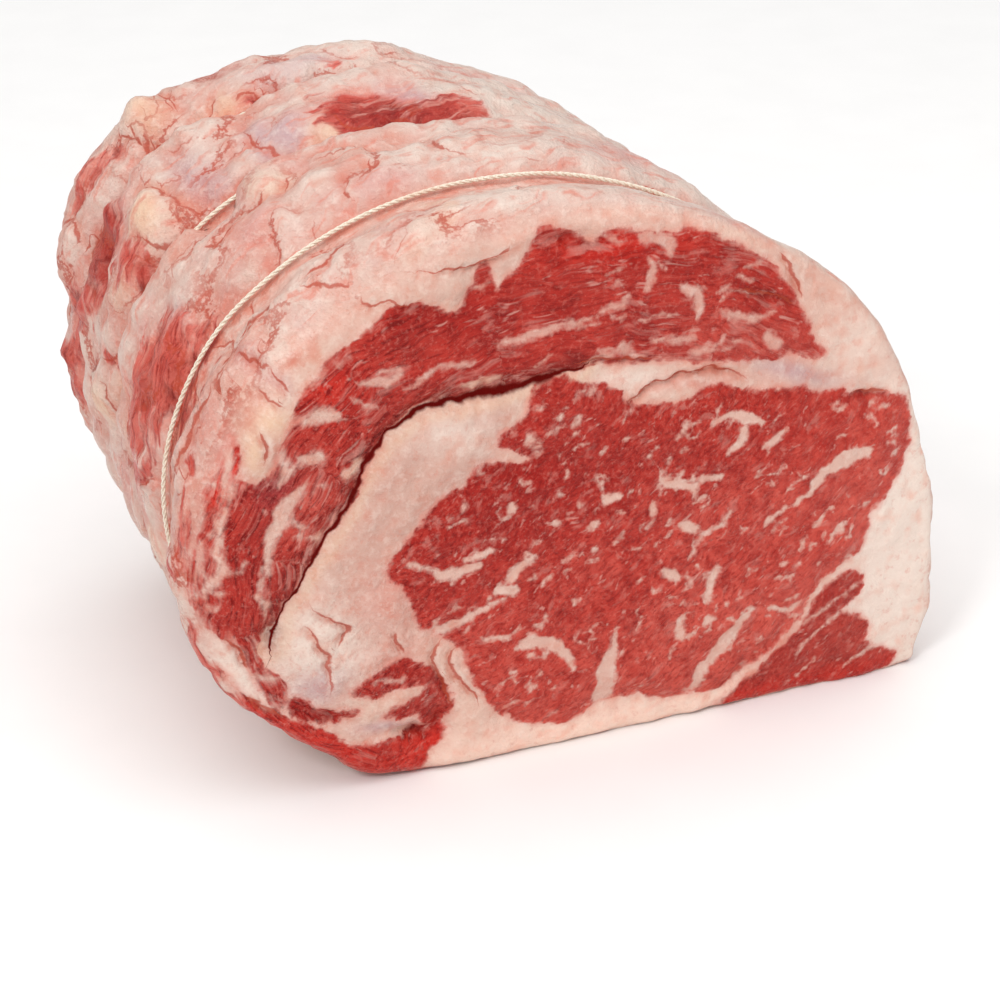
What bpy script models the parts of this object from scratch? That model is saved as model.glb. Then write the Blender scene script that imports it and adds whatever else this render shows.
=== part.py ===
"""Raw boneless beef rib roast, tied with three loops of butcher's twine.

The roast is one closed solid: a short log of meat that lies on a flattened side. Its cut face
looks along -Y, its longest extent runs along X, and +Z is up. The twine loops pinch the log
into four bulging sections. Each loop is a solid of its own, with a knot and two short tails on
the right-hand side. A cleft in the cut face parts the cap muscle from the fat and the eye.

All numbers below are in millimetres; MM turns them into Blender's metres.
"""

import math

import bmesh
import bpy
from mathutils import Vector

MM = 0.001

# Driving dimensions of the meat
FACE_Y = -65.0
BACK_Y = 62.0
AROUND = 72
FACE_CROWN = 1.6
BACK_CROWN = 4.6
BACK_SHOULDER = 17.0
FACE_SHOULDER_MIN = 4.0
FACE_SHOULDER_MAX = 14.0
SHOULDER_DIRECTION = math.radians(142.0)
CAP_RINGS = (0.78, 0.55, 0.3)

# The twine, and how far it pinches the meat
TWINE_Y = (-38.0, -3.5, 28.5)
TWINE_NAMES = ("twine_front", "twine_middle", "twine_back")
TWINE_RADIUS = 0.9
TWINE_GAP = 0.45
TWINE_SIDES = 6
PINCH_DEPTH = 4.5
PINCH_HALF_WIDTH = 5.0

# The knot of each loop, and its tails as steps along Y, outwards and down
KNOT_DIRECTION = math.radians(28.0)
KNOT_RADII = (2.0, 2.6, 3.0)
KNOT_LIFT = 1.7
TAIL_STEPS = ((0.0, 0.0, 0.0), (3.0, 0.8, 1.0), (6.5, 2.0, 3.2), (9.5, 2.6, 6.6), (11.5, 2.8, 11.0))
TAIL_RADIUS = 0.8

# The log's outline (x, z) where it bulges most, clockwise from the lower left: once for the
# section behind the cut face and once for the section at the back.
FRONT_OUTLINE = (
    (-46, 1), (-63, 10.5), (-79, 24), (-89, 40), (-93.5, 57), (-93.5, 72), (-89, 87),
    (-81, 101), (-70, 113), (-54, 124), (-34, 132), (-11, 135), (9, 134), (31, 127.5),
    (51, 116.5), (66.5, 104.5), (78.5, 88.5), (87.5, 69.5), (93.5, 45), (94.5, 22), (92.5, 5),
    (86, -0.8), (45, -0.8), (-6, -0.8),
)
BACK_OUTLINE = (
    (-46, 2), (-60, 11.5), (-71, 25), (-80, 41), (-85.5, 59), (-88, 77), (-88.5, 94),
    (-85.5, 109), (-76, 122), (-61, 131.5), (-39, 138), (-14, 138.5), (7, 133.5), (26.5, 124.5),
    (43, 111.5), (58, 97), (70, 81), (78.5, 64), (84, 43), (85, 21), (82, 5), (74, -0.8),
    (39, -0.8), (-6, -0.8),
)

# The cleft in the cut face as (x, z, half width): it runs up the left of the fat and over it.
CLEFT = (
    (-73, 43, 0.5), (-71, 51, 1.0), (-65.5, 59, 1.3), (-60, 67, 1.3), (-54.5, 74, 1.3),
    (-50.5, 83, 1.2), (-44, 91, 1.2), (-34, 93.5, 1.1), (-19, 94, 1.1), (-2, 95.5, 0.6),
)
CLEFT_DEPTH = 9.0
CLEFT_SAMPLES = 24

MEAT_RED = (0.50, 0.09, 0.07, 1.0)
TWINE_CREAM = (0.86, 0.80, 0.66, 1.0)


def catmull_rom(p0, p1, p2, p3, t):
    """A point between p1 and p2 on the smooth curve through four points."""
    return tuple(
        0.5 * (2 * b + (c - a) * t + (2 * a - 5 * b + 4 * c - d) * t * t + (3 * b - a - 3 * c + d) * t ** 3)
        for a, b, c, d in zip(p0, p1, p2, p3)
    )


def spaced_evenly(points, count, closed):
    """Resample a fine polyline at equal steps along its length."""
    if closed:
        points = points + points[:1]
    reach = [0.0]
    for p, q in zip(points, points[1:]):
        reach.append(reach[-1] + math.dist(p[:2], q[:2]))
    steps = count if closed else count - 1
    result = []
    k = 0
    for i in range(count):
        target = reach[-1] * i / steps
        while k < len(points) - 2 and reach[k + 1] < target:
            k += 1
        t = (target - reach[k]) / (reach[k + 1] - reach[k])
        result.append(tuple(a + (b - a) * t for a, b in zip(points[k], points[k + 1])))
    return result


def smooth_ring(points, count):
    """Evenly spaced points on the closed smooth curve through the given ones."""
    n = len(points)
    fine = [
        catmull_rom(points[i - 1], points[i], points[(i + 1) % n], points[(i + 2) % n], j / 12)
        for i in range(n) for j in range(12)
    ]
    return spaced_evenly(fine, count, closed=True)


def smooth_path(points, count):
    """Evenly spaced points on the open smooth curve through the given ones."""
    ends = [points[0]] + list(points) + [points[-1]]
    fine = [
        catmull_rom(*ends[i:i + 4], j / 12)
        for i in range(len(points) - 1) for j in range(12)
    ]
    return spaced_evenly(fine + [tuple(points[-1])], count, closed=False)


def outward_normals(ring):
    """Unit normals of a clockwise ring, pointing away from its inside."""
    normals = []
    for i in range(len(ring)):
        ax, az = ring[i - 1]
        bx, bz = ring[(i + 1) % len(ring)]
        length = math.dist((ax, az), (bx, bz))
        normals.append((-(bz - az) / length, (bx - ax) / length))
    return normals


FRONT_RING = smooth_ring(FRONT_OUTLINE, AROUND)
BACK_RING = smooth_ring(BACK_OUTLINE, AROUND)


def bulge_ring(y):
    """The outline before any pinch or shoulder, at a place along the log."""
    t = (y - FACE_Y) / (BACK_Y - FACE_Y)
    return [(a[0] + (b[0] - a[0]) * t, a[1] + (b[1] - a[1]) * t) for a, b in zip(FRONT_RING, BACK_RING)]


def pinch(y):
    """How far the twine pulls the surface in at a place along the log."""
    return sum(PINCH_DEPTH * math.exp(-((y - loop_y) / PINCH_HALF_WIDTH) ** 2) for loop_y in TWINE_Y)


def rounding(distance, radius):
    """Inset of a quarter-round edge, at a distance from the end that it rounds off."""
    if distance >= radius:
        return 0.0
    return radius - math.sqrt(radius ** 2 - (radius - distance) ** 2)


def face_shoulder(normal):
    """Radius of the cut face's edge: broad on the fat at the upper left, tight elsewhere."""
    facing = normal[0] * math.cos(SHOULDER_DIRECTION) + normal[1] * math.sin(SHOULDER_DIRECTION)
    share = max(0.0, facing) ** 1.5
    return FACE_SHOULDER_MIN + (FACE_SHOULDER_MAX - FACE_SHOULDER_MIN) * share


def section(y):
    """The meat's outline at a place along the log, flat where it lies on the floor."""
    ring = bulge_ring(y)
    points = []
    for (x, z), normal in zip(ring, outward_normals(ring)):
        inset = pinch(y) + rounding(y - FACE_Y, face_shoulder(normal))
        inset += rounding(BACK_Y - y, BACK_SHOULDER)
        points.append((x - normal[0] * inset, y, max(0.0, z - normal[1] * inset)))
    return points


def stations():
    """Places along the log: close together at its ends and at each pinch."""
    near_face = [FACE_Y + d for d in (0.0, 0.5, 1.8, 4.0, 8.0, 14.0)]
    near_back = [BACK_Y - d for d in (0.0, 0.6, 2.2, 5.0, 9.5, 17.0)]
    near_twine = [loop_y + d for loop_y in TWINE_Y for d in (-10.0, -5.5, -2.5, 0.0, 2.5, 5.5, 10.0)]
    return sorted(near_face + near_twine + near_back)


def skin(bm, rings, closed_ends=True):
    """Join rings of points, each as long as the next, into a closed tube-like body."""
    grid = [[bm.verts.new(Vector(p) * MM) for p in ring] for ring in rings]
    for lower, upper in zip(grid, grid[1:]):
        for i in range(len(lower)):
            j = (i + 1) % len(lower)
            bm.faces.new((lower[i], lower[j], upper[j], upper[i]))
    if closed_ends:
        bm.faces.new(grid[0][::-1])
        bm.faces.new(grid[-1])
    return grid


def close_with_crown(bm, edge, crown_y):
    """Fill an end of the log with shrinking rings that rise gently to a crown."""
    count = len(edge)
    centre = sum((v.co for v in edge), Vector()) / count
    crown = crown_y * MM
    outer = edge
    for share in CAP_RINGS:
        inner = []
        for v in edge:
            point = centre.lerp(v.co, share)
            point.y += crown * (1.0 - share ** 2)
            inner.append(bm.verts.new(point))
        for i in range(count):
            j = (i + 1) % count
            bm.faces.new((outer[i], outer[j], inner[j], inner[i]))
        outer = inner
    tip = bm.verts.new(centre + Vector((0.0, crown, 0.0)))
    for i in range(count):
        bm.faces.new((outer[i], outer[(i + 1) % count], tip))


def material(name, colour, roughness):
    made = bpy.data.materials.new(name)
    made.use_nodes = True
    shader = made.node_tree.nodes["Principled BSDF"]
    shader.inputs["Base Color"].default_value = colour
    shader.inputs["Roughness"].default_value = roughness
    shader.inputs["Metallic"].default_value = 0.0
    return made


def finish(bm, name, look=None):
    """Turn a bmesh into a linked object with its faces pointing out."""
    bmesh.ops.recalc_face_normals(bm, faces=bm.faces)
    mesh = bpy.data.meshes.new(name)
    bm.to_mesh(mesh)
    bm.free()
    mesh.shade_smooth()
    made = bpy.data.objects.new(name, mesh)
    bpy.context.scene.collection.objects.link(made)
    if look:
        mesh.materials.append(look)
    return made


def make_cutter(name, bm):
    cutter = finish(bm, name)
    cutter.hide_render = True
    cutter.display_type = "WIRE"
    return cutter


def apply_boolean(body, helper, operation):
    step = body.modifiers.new(helper.name, "BOOLEAN")
    step.operation = operation
    step.solver = "EXACT"
    step.object = helper


def cleft_cutter():
    """A curved wedge along the cleft: open at the cut face and narrowing inwards."""
    path = smooth_path(CLEFT, CLEFT_SAMPLES)
    rings = []
    for i, (x, z, half_width) in enumerate(path):
        ax, az, _ = path[max(i - 1, 0)]
        bx, bz, _ = path[min(i + 1, len(path) - 1)]
        length = math.dist((ax, az), (bx, bz))
        across = Vector((-(bz - az) / length, 0.0, (bx - ax) / length))
        here = Vector((x, 0.0, z))
        deep = CLEFT_DEPTH * math.sin(math.pi * (i + 1) / (len(path) + 1)) ** 0.5
        front = Vector((0.0, FACE_Y - 2.0, 0.0))
        back = Vector((0.0, FACE_Y + deep, 0.0))
        rings.append([
            here + front - across * half_width, here + front + across * half_width,
            here + back + across * half_width * 0.4, here + back - across * half_width * 0.4,
        ])
    bm = bmesh.new()
    skin(bm, rings)
    return make_cutter("cleft_cutter", bm)


def make_roast():
    bm = bmesh.new()
    grid = skin(bm, [section(y) for y in stations()], closed_ends=False)
    close_with_crown(bm, grid[0], -FACE_CROWN)
    close_with_crown(bm, grid[-1], BACK_CROWN)
    roast = finish(bm, "roast", material("meat", MEAT_RED, 0.45))
    apply_boolean(roast, cleft_cutter(), "DIFFERENCE")
    return roast


def tube(bm, centres, normals, radius, closed):
    """A tube of the twine's sides round a path; each normal is across the path and level."""
    rings = []
    for i, centre in enumerate(centres):
        before = centres[i - 1] if closed or i > 0 else centre
        after = centres[(i + 1) % len(centres)] if closed or i < len(centres) - 1 else centre
        along = (after - before).normalized()
        first = (normals[i] - along * normals[i].dot(along)).normalized()
        second = along.cross(first)
        rings.append([
            centre + (first * math.cos(a) + second * math.sin(a)) * radius
            for a in (2 * math.pi * k / TWINE_SIDES for k in range(TWINE_SIDES))
        ])
    if closed:
        rings.append(rings[0])
        grid = skin(bm, rings, closed_ends=False)
        bmesh.ops.remove_doubles(bm, verts=grid[0] + grid[-1], dist=1e-7)
    else:
        skin(bm, rings)


def loop_route(loop_y):
    """Centre line of a loop in the floor of its pinch, with its outward normals."""
    ring = bulge_ring(loop_y)
    sunk = PINCH_DEPTH - TWINE_GAP - TWINE_RADIUS
    centres, normals = [], []
    for (x, z), (nx, nz) in zip(ring, outward_normals(ring)):
        centres.append(Vector((x - nx * sunk, loop_y, z - nz * sunk)))
        normals.append(Vector((nx, 0.0, nz)))
    return centres, normals


def make_twine(name, loop_y, look):
    centres, normals = loop_route(loop_y)
    bm = bmesh.new()
    tube(bm, centres, normals, TWINE_RADIUS, closed=True)
    twine = finish(bm, name, look)

    aim = Vector((math.cos(KNOT_DIRECTION), 0.0, math.sin(KNOT_DIRECTION)))
    at = max(range(AROUND), key=lambda i: normals[i].dot(aim))
    outward = normals[at]
    down = Vector((outward.z, 0.0, -outward.x))
    knot_centre = centres[at] + outward * KNOT_LIFT

    bm = bmesh.new()
    bmesh.ops.create_uvsphere(bm, u_segments=12, v_segments=7, radius=1.0)
    for v in bm.verts:
        out, side, drop = (a * b for a, b in zip(v.co, KNOT_RADII))
        v.co = (knot_centre + outward * out + Vector((0.0, side, 0.0)) + down * drop) * MM
    apply_boolean(twine, make_cutter(name + "_knot", bm), "UNION")

    for label, side in (("_tail_a", -1.0), ("_tail_b", 1.0)):
        route = [
            knot_centre + Vector((0.0, side * step, 0.0)) + outward * out + down * drop
            for step, out, drop in TAIL_STEPS
        ]
        bm = bmesh.new()
        tube(bm, route, [outward] * len(route), TAIL_RADIUS, closed=False)
        apply_boolean(twine, make_cutter(name + label, bm), "UNION")
    return twine


def settle(objects):
    """Centre the whole on X and Y, above a floor at Z = 0."""
    corners = [v.co for made in objects for v in made.data.vertices]
    middle = [(min(c[k] for c in corners) + max(c[k] for c in corners)) / 2 for k in (0, 1)]
    floor = min(c.z for c in corners)
    for made in bpy.context.scene.objects:
        made.location = (-middle[0], -middle[1], -floor)


def main():
    for old in list(bpy.data.objects):
        bpy.data.objects.remove(old)
    roast = make_roast()
    cotton = material("twine", TWINE_CREAM, 0.9)
    for name, loop_y in zip(TWINE_NAMES, TWINE_Y):
        make_twine(name, loop_y, cotton)
    settle([roast])


main()
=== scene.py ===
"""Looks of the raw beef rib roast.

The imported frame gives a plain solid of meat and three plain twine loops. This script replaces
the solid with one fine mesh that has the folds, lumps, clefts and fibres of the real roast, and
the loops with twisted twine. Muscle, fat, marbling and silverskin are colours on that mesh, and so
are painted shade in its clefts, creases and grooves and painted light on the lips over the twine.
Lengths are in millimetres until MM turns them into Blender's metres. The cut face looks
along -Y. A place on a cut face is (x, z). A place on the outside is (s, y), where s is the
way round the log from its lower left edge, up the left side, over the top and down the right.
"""

import math

import bpy
import numpy as np
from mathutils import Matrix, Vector
from mathutils.geometry import delaunay_2d_cdt


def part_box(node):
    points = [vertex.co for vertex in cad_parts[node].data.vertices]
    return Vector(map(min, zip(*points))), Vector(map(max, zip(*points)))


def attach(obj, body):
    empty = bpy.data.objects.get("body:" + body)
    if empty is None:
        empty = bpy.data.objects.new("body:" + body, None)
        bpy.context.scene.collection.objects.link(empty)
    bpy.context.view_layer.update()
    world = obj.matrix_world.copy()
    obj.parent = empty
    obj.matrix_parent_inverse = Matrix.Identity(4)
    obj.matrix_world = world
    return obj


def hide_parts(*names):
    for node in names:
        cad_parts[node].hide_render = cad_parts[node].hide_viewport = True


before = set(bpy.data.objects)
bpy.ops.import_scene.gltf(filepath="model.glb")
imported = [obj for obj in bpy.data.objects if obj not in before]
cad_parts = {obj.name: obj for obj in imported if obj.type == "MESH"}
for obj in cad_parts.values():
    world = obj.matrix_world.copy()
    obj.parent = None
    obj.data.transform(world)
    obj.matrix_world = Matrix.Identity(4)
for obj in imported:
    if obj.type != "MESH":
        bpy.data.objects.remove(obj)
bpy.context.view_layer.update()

MM = 0.001
RANDOM = np.random.default_rng(7)

# ---------------------------------------------------------------- the log's form, as in the CAD
FACE_Y = -65.0
BACK_Y = 62.0
BACK_SHOULDER = 17.0
FACE_SHOULDER_MIN = 4.0
FACE_SHOULDER_MAX = 14.0
SHOULDER_DIRECTION = math.radians(142.0)
PINCH_DEPTH = 4.5
TWINE_RADIUS = 0.9
TWINE_GAP = 0.45
KNOT_DIRECTION = math.radians(28.0)
TWINE_NODES = ("twine_front", "twine_middle", "twine_back")
LOOP_Y = [(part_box(node)[0][1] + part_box(node)[1][1]) / 2 / MM for node in TWINE_NODES]

FRONT_OUTLINE = (
    (-46, 1), (-63, 10.5), (-79, 24), (-89, 40), (-93.5, 57), (-93.5, 72), (-89, 87),
    (-81, 101), (-70, 113), (-54, 124), (-34, 132), (-11, 135), (9, 134), (31, 127.5),
    (51, 116.5), (66.5, 104.5), (78.5, 88.5), (87.5, 69.5), (93.5, 45), (94.5, 22), (92.5, 5),
    (86, -0.8), (45, -0.8), (-6, -0.8),
)
BACK_OUTLINE = (
    (-46, 2), (-60, 11.5), (-71, 25), (-80, 41), (-85.5, 59), (-88, 77), (-88.5, 94),
    (-85.5, 109), (-76, 122), (-61, 131.5), (-39, 138), (-14, 138.5), (7, 133.5), (26.5, 124.5),
    (43, 111.5), (58, 97), (70, 81), (78.5, 64), (84, 43), (85, 21), (82, 5), (74, -0.8),
    (39, -0.8), (-6, -0.8),
)
AROUND_LENGTH = 529.6
FRONT_NORMAL_EVENING = 5.0
BACK_NORMAL_EVENING = 12.0
# how far the layers of the cut face shift sideways and up for each millimetre into the roast
FACE_SLANT = (-0.33, 0.44)

# ---------------------------------------------------------------- mesh fineness
AROUND = 400
SHOULDER_RINGS = 16
FRONT_FLOW_RINGS = 9
BODY_RINGS = 104
FRONT_GRID = 0.80
BACK_GRID = 2.0


# ================================================================ curves and noise
def catmull(points, closed, per_span):
    """A fine polyline on the smooth curve through the given points."""
    p = np.asarray(points, float)
    n = len(p)
    if closed:
        quads = [(p[i - 1], p[i], p[(i + 1) % n], p[(i + 2) % n]) for i in range(n)]
    else:
        q = np.vstack([p[:1], p, p[-1:]])
        quads = [q[i:i + 4] for i in range(n - 1)]
    t = (np.arange(per_span) / per_span)[:, None]
    spans = [
        0.5 * (2 * b + (c - a) * t + (2 * a - 5 * b + 4 * c - d) * t ** 2 + (3 * b - a - 3 * c + d) * t ** 3)
        for a, b, c, d in quads
    ]
    return np.vstack(spans + ([] if closed else [p[-1:]]))


def even_ring(points, count):
    """Points at equal steps round the closed smooth curve through the given ones."""
    fine = catmull(points, True, 20)
    fine = np.vstack([fine, fine[:1]])
    reach = np.r_[0.0, np.cumsum(np.hypot(*np.diff(fine, axis=0).T))]
    at = np.linspace(0.0, reach[-1], count, endpoint=False)
    return np.stack([np.interp(at, reach, fine[:, k]) for k in (0, 1)], axis=1)


GRADIENTS = RANDOM.normal(size=(256, 3))
GRADIENTS /= np.linalg.norm(GRADIENTS, axis=1)[:, None]
SHUFFLE = RANDOM.permutation(256)
CELL_POINTS = RANDOM.random((256, 3))


def lattice(cell):
    """A fixed random number from 0 to 255 for each whole-numbered cell."""
    mixed = SHUFFLE[cell[:, 0] & 255]
    mixed = SHUFFLE[(mixed + cell[:, 1]) & 255]
    return SHUFFLE[(mixed + cell[:, 2]) & 255]


def noise(points, size, seed=0):
    """Smooth noise of about -1 to 1, whose lumps are as large as size, a number or one per axis."""
    p = points / np.asarray(size, float) + seed * 17.31
    cell = np.floor(p).astype(int)
    f = p - cell
    fade = f ** 3 * (f * (f * 6 - 15) + 10)
    total = np.zeros(len(p))
    for corner in np.ndindex(2, 2, 2):
        away = f - corner
        weight = np.prod(np.where(corner, fade, 1 - fade), axis=1)
        total += weight * np.einsum("ij,ij->i", away, GRADIENTS[lattice(cell + corner)])
    return total * 1.5


def rough(points, size, seed=0, octaves=3):
    """Noise with finer noise on it."""
    size = np.asarray(size, float)
    return sum(noise(points, size / 2 ** k, seed + 3 * k) / 2 ** k for k in range(octaves)) / 1.5


def cells(points, size, seed=0):
    """Distance to the nearest and the next nearest of scattered points, in cells."""
    p = points / np.asarray(size, float) + seed * 17.31
    cell = np.floor(p).astype(int)
    first = np.full(len(p), 9.0)
    second = np.full(len(p), 9.0)
    for step in np.ndindex(3, 3, 3):
        near = cell + step - 1
        d = np.linalg.norm(near + CELL_POINTS[lattice(near)] - p, axis=1)
        second = np.minimum(second, np.maximum(first, d))
        first = np.minimum(first, d)
    return first, second


def smooth(value, low, high):
    """0 below low and 1 above high, with a soft step between them."""
    t = np.clip((value - low) / (high - low), 0.0, 1.0)
    return t * t * (3 - 2 * t)


# ================================================================ distances
def to_segments(p, line):
    """Distance to a polyline, the share along its nearest segment, that segment, and the side."""
    best = np.full(len(p), 1e9)
    share = np.zeros(len(p))
    which = np.zeros(len(p), int)
    side = np.zeros(len(p))
    for k, (a, b) in enumerate(zip(line[:-1, :2], line[1:, :2])):
        ab = b - a
        t = np.clip((p - a) @ ab / (ab @ ab), 0, 1)
        off = p - a - t[:, None] * ab
        d = np.hypot(off[:, 0], off[:, 1])
        nearer = d < best
        best[nearer] = d[nearer]
        share[nearer] = t[nearer]
        which[nearer] = k
        side[nearer] = np.sign(ab[0] * off[nearer, 1] - ab[1] * off[nearer, 0])
    return best, share, which, side


def inside(p, outline, per_span=4):
    """Distance to the edge of a smooth closed outline, positive inside it."""
    line = catmull(outline, True, per_span)
    line = np.vstack([line, line[:1]])
    best = np.full(len(p), 1e9)
    within = np.zeros(len(p), bool)
    for a, b in zip(line[:-1], line[1:]):
        ab = b - a
        t = np.clip((p - a) @ ab / max(ab @ ab, 1e-9), 0, 1)
        off = p - a - t[:, None] * ab
        best = np.minimum(best, np.hypot(off[:, 0], off[:, 1]))
        spans = (a[1] > p[:, 1]) != (b[1] > p[:, 1])
        if spans.any():
            cross = a[0] + (p[:, 1] - a[1]) * ab[0] / (ab[1] if ab[1] else 1e-9)
            within ^= spans & (p[:, 0] < cross)
    return np.where(within, best, -best)


def vein(p, path):
    """How deep a point is inside a strand given as (a, b, half width) points."""
    line = np.asarray(path, float)
    if len(line) == 1:
        return line[0, 2] - np.hypot(p[:, 0] - line[0, 0], p[:, 1] - line[0, 1])
    d, share, which, _ = to_segments(p, line)
    return line[which, 2] * (1 - share) + line[which + 1, 2] * share - d


def veins(p, paths, reach=12.0):
    """The deepest of many strands; each is only worked out near itself."""
    field = np.full(len(p), -9.0)
    for path in paths:
        line = np.asarray(path, float)
        near = np.all((p > line[:, :2].min(0) - reach) & (p < line[:, :2].max(0) + reach), axis=1)
        field[near] = np.maximum(field[near], vein(p[near], path))
    return field


def spot(p, a, b, ra, rb, turn=0.0):
    """A soft oval: 1 at (a, b), falling to 0.37 at its radii."""
    c, s = math.cos(math.radians(turn)), math.sin(math.radians(turn))
    da, db = p[:, 0] - a, p[:, 1] - b
    return np.exp(-((da * c + db * s) / ra) ** 2 - ((db * c - da * s) / rb) ** 2)


# ================================================================ the cut face, as (x, z)
CAP = (
    (60, 88.9), (58.1, 92.9), (55.2, 98.3), (52.4, 103.7), (50.5, 107.6), (47.8, 110.9),
    (42.5, 116.1), (38.3, 118.7), (34.1, 121.3), (30.7, 123.4), (26.6, 125), (22.6, 125.6),
    (20.8, 124), (17.8, 125), (13, 126.6), (8.2, 127.7), (5, 127.4), (3, 125.6), (1, 125.4),
    (-3, 127.9), (-6, 129.4), (-10.6, 131), (-12.2, 128.6), (-13, 126), (-15.5, 123.3), (-18, 121),
    (-20.4, 119), (-21.4, 121), (-22.6, 124.3), (-24.6, 124.2), (-26.2, 121.2), (-28.2, 117.5),
    (-29, 114.6), (-32, 114.6), (-35, 116.8), (-42, 118), (-46.5, 116.5), (-50, 113.5), (-53.5, 110.5),
    (-58.5, 109), (-61.5, 106), (-65, 102), (-67, 98), (-69.5, 92), (-72, 85.5), (-76, 82),
    (-81, 85), (-86, 87.5), (-88.5, 83), (-89.5, 74), (-90.5, 66), (-92.5, 58), (-89.4, 51),
    (-84.9, 46), (-81.5, 42), (-79.8, 37.3), (-78, 32.5), (-75.3, 27.5), (-73.2, 25), (-70.5, 28),
    (-71.5, 31.8), (-74.7, 36.2), (-77.2, 40), (-76.8, 44.3), (-72.8, 47), (-70.8, 51.5), (-67, 57), (-63.5, 63), (-58, 70), (-54.5, 74.5),
    (-51, 82), (-48, 87), (-43.5, 92), (-38, 94.2), (-26, 94.6), (-11, 95.6), (0, 96.8),
    (12, 95.4), (22, 94.6), (33, 92.4), (45, 91.2), (54, 90),
)
EYE = (
    (-47.3, 55.5), (-45.8, 59.1), (-42, 62.3), (-39.9, 64.6), (-38.2, 67.3), (-35.6, 69.9),
    (-32.3, 71.8), (-28.5, 72.4), (-28, 74.3), (-25.9, 76.9), (-22.1, 77.3), (-19, 76.2),
    (-14.9, 76.2), (-13.4, 77.5), (-15.8, 79.2), (-20.8, 81.2), (-20.2, 84), (-17, 85.1),
    (-14.1, 88.4), (-13, 91.7), (-11.5, 94), (-8, 95.3), (-2, 94), (4, 92.3), (8, 89.5),
    (10, 86.3), (14, 85.5), (20, 84.5), (25.5, 84.3), (29, 86.8), (34, 87), (38, 85), (45, 83.6),
    (53, 83), (58, 80.8), (65, 80), (73, 77.2), (79.5, 76), (82.5, 73), (84, 68), (83.8, 61),
    (82, 55), (78.5, 50), (75, 46), (74.5, 42), (73, 37.5), (68.5, 34), (63, 31), (60, 27),
    (57, 21.2), (53, 17.5), (48.5, 13), (43.5, 10), (39.5, 7), (33.5, 6), (28, 6.8), (23, 6.6),
    (19, 8.3), (14, 10.2), (8, 10.4), (2.7, 10), (-1, 7.2), (-6, 6.9), (-11.8, 8.2),
    (-17.6, 10.7), (-22, 15.5), (-25.8, 20.5),
    (-28.2, 27.5), (-31, 33.6), (-36.2, 37.2), (-39.6, 40.2), (-41.4, 45.2), (-43.5, 50.2), (-47, 53.4),
)
SMALL_MUSCLES = (
    # the upper and lower parts of the round one at the lower left
    ((-56.3, 26.4), (-53.4, 28.1), (-49.7, 30.2), (-46.1, 31.9), (-42.4, 31.9), (-38.8, 29.9),
     (-35.8, 26.6), (-35.4, 24.2), (-37.8, 24.4), (-40.7, 25.3), (-44.4, 24.7), (-48, 23.5),
     (-52.1, 23.8)),
    ((-36.8, 27), (-33.9, 24), (-31.8, 20.1), (-31.8, 16), (-34.4, 12.8), (-37.2, 12.4),
     (-39.7, 15.1), (-41, 17.6), (-45.4, 17.4), (-49.4, 18.4), (-46.3, 20.5), (-41.7, 21.5),
     (-38.9, 23.3)),
    # the long dark one under the fat
    ((-71.1, 28), (-69.1, 28.2), (-66.7, 26.5), (-63.4, 23.8), (-59.9, 22.2), (-56.4, 21.9),
     (-53.9, 20.8), (-56.5, 19.5), (-62.5, 19.2), (-66.4, 20.7), (-69.3, 22.5), (-71.2, 25)),
    # the strip along the lower left edge, and the redder one outside it
    ((-75.1, 25.5), (-71.3, 22.9), (-67.4, 20.4), (-61.6, 17), (-58.6, 13.9), (-55.2, 12.2),
     (-51.6, 11.6), (-46.5, 10.9), (-42.4, 11.4), (-39.8, 13), (-36.2, 13.2), (-33, 11.6),
     (-34.2, 8.6), (-37, 6.5), (-39, 3), (-44, 0.5), (-52, 2), (-60, 7), (-70, 14.5), (-78, 24)),
    ((-88.5, 41), (-85.3, 37.3), (-82.6, 33.4), (-79.9, 30), (-77.1, 26.6), (-77, 22),
     (-83, 27), (-90, 37)),
    # the dark one at the lower right, in three folds
    ((64.6, 28.9), (69.1, 31.3), (73.1, 30), (74.5, 26.2), (72, 23.2), (68.6, 21.2), (71.4, 19.8),
     (74.7, 17.5), (76.9, 14.2), (75.9, 10.8), (78.5, 8.3), (82.5, 7.4), (85.6, 4.3), (84, 1),
     (76, -1), (56, -1), (42, -0.5), (35, 1.2), (40.4, 5), (46.4, 9.2), (51.5, 13.8),
     (56.7, 18.2), (60.3, 24)),
    # the bright tongue at the left end of the cap
    ((-81, 94.5), (-79.3, 89), (-81, 84), (-85, 79), (-88.5, 80), (-88, 85), (-85, 88.5), (-83, 91.5)),
)
SEAM = (
    (-74, 42, 0.4), (-71.8, 50, 0.45), (-66.6, 58, 0.5), (-61.4, 66, 0.55), (-56, 73, 0.6),
    (-52, 82, 0.6), (-47, 88.9, 0.7), (-39, 93.4, 0.85), (-26, 94.1, 1.1), (-12, 95.2, 1.15),
    (-1, 97.0, 0.4),
)
CREVICE = ((9, 86.2, 0.1), (11.4, 87, 0.25), (18, 90, 0.3), (25.3, 91.1, 0.35), (31.5, 91.3, 0.4),
           (36, 89.5, 0.3), (41, 86, 0.15))
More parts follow.
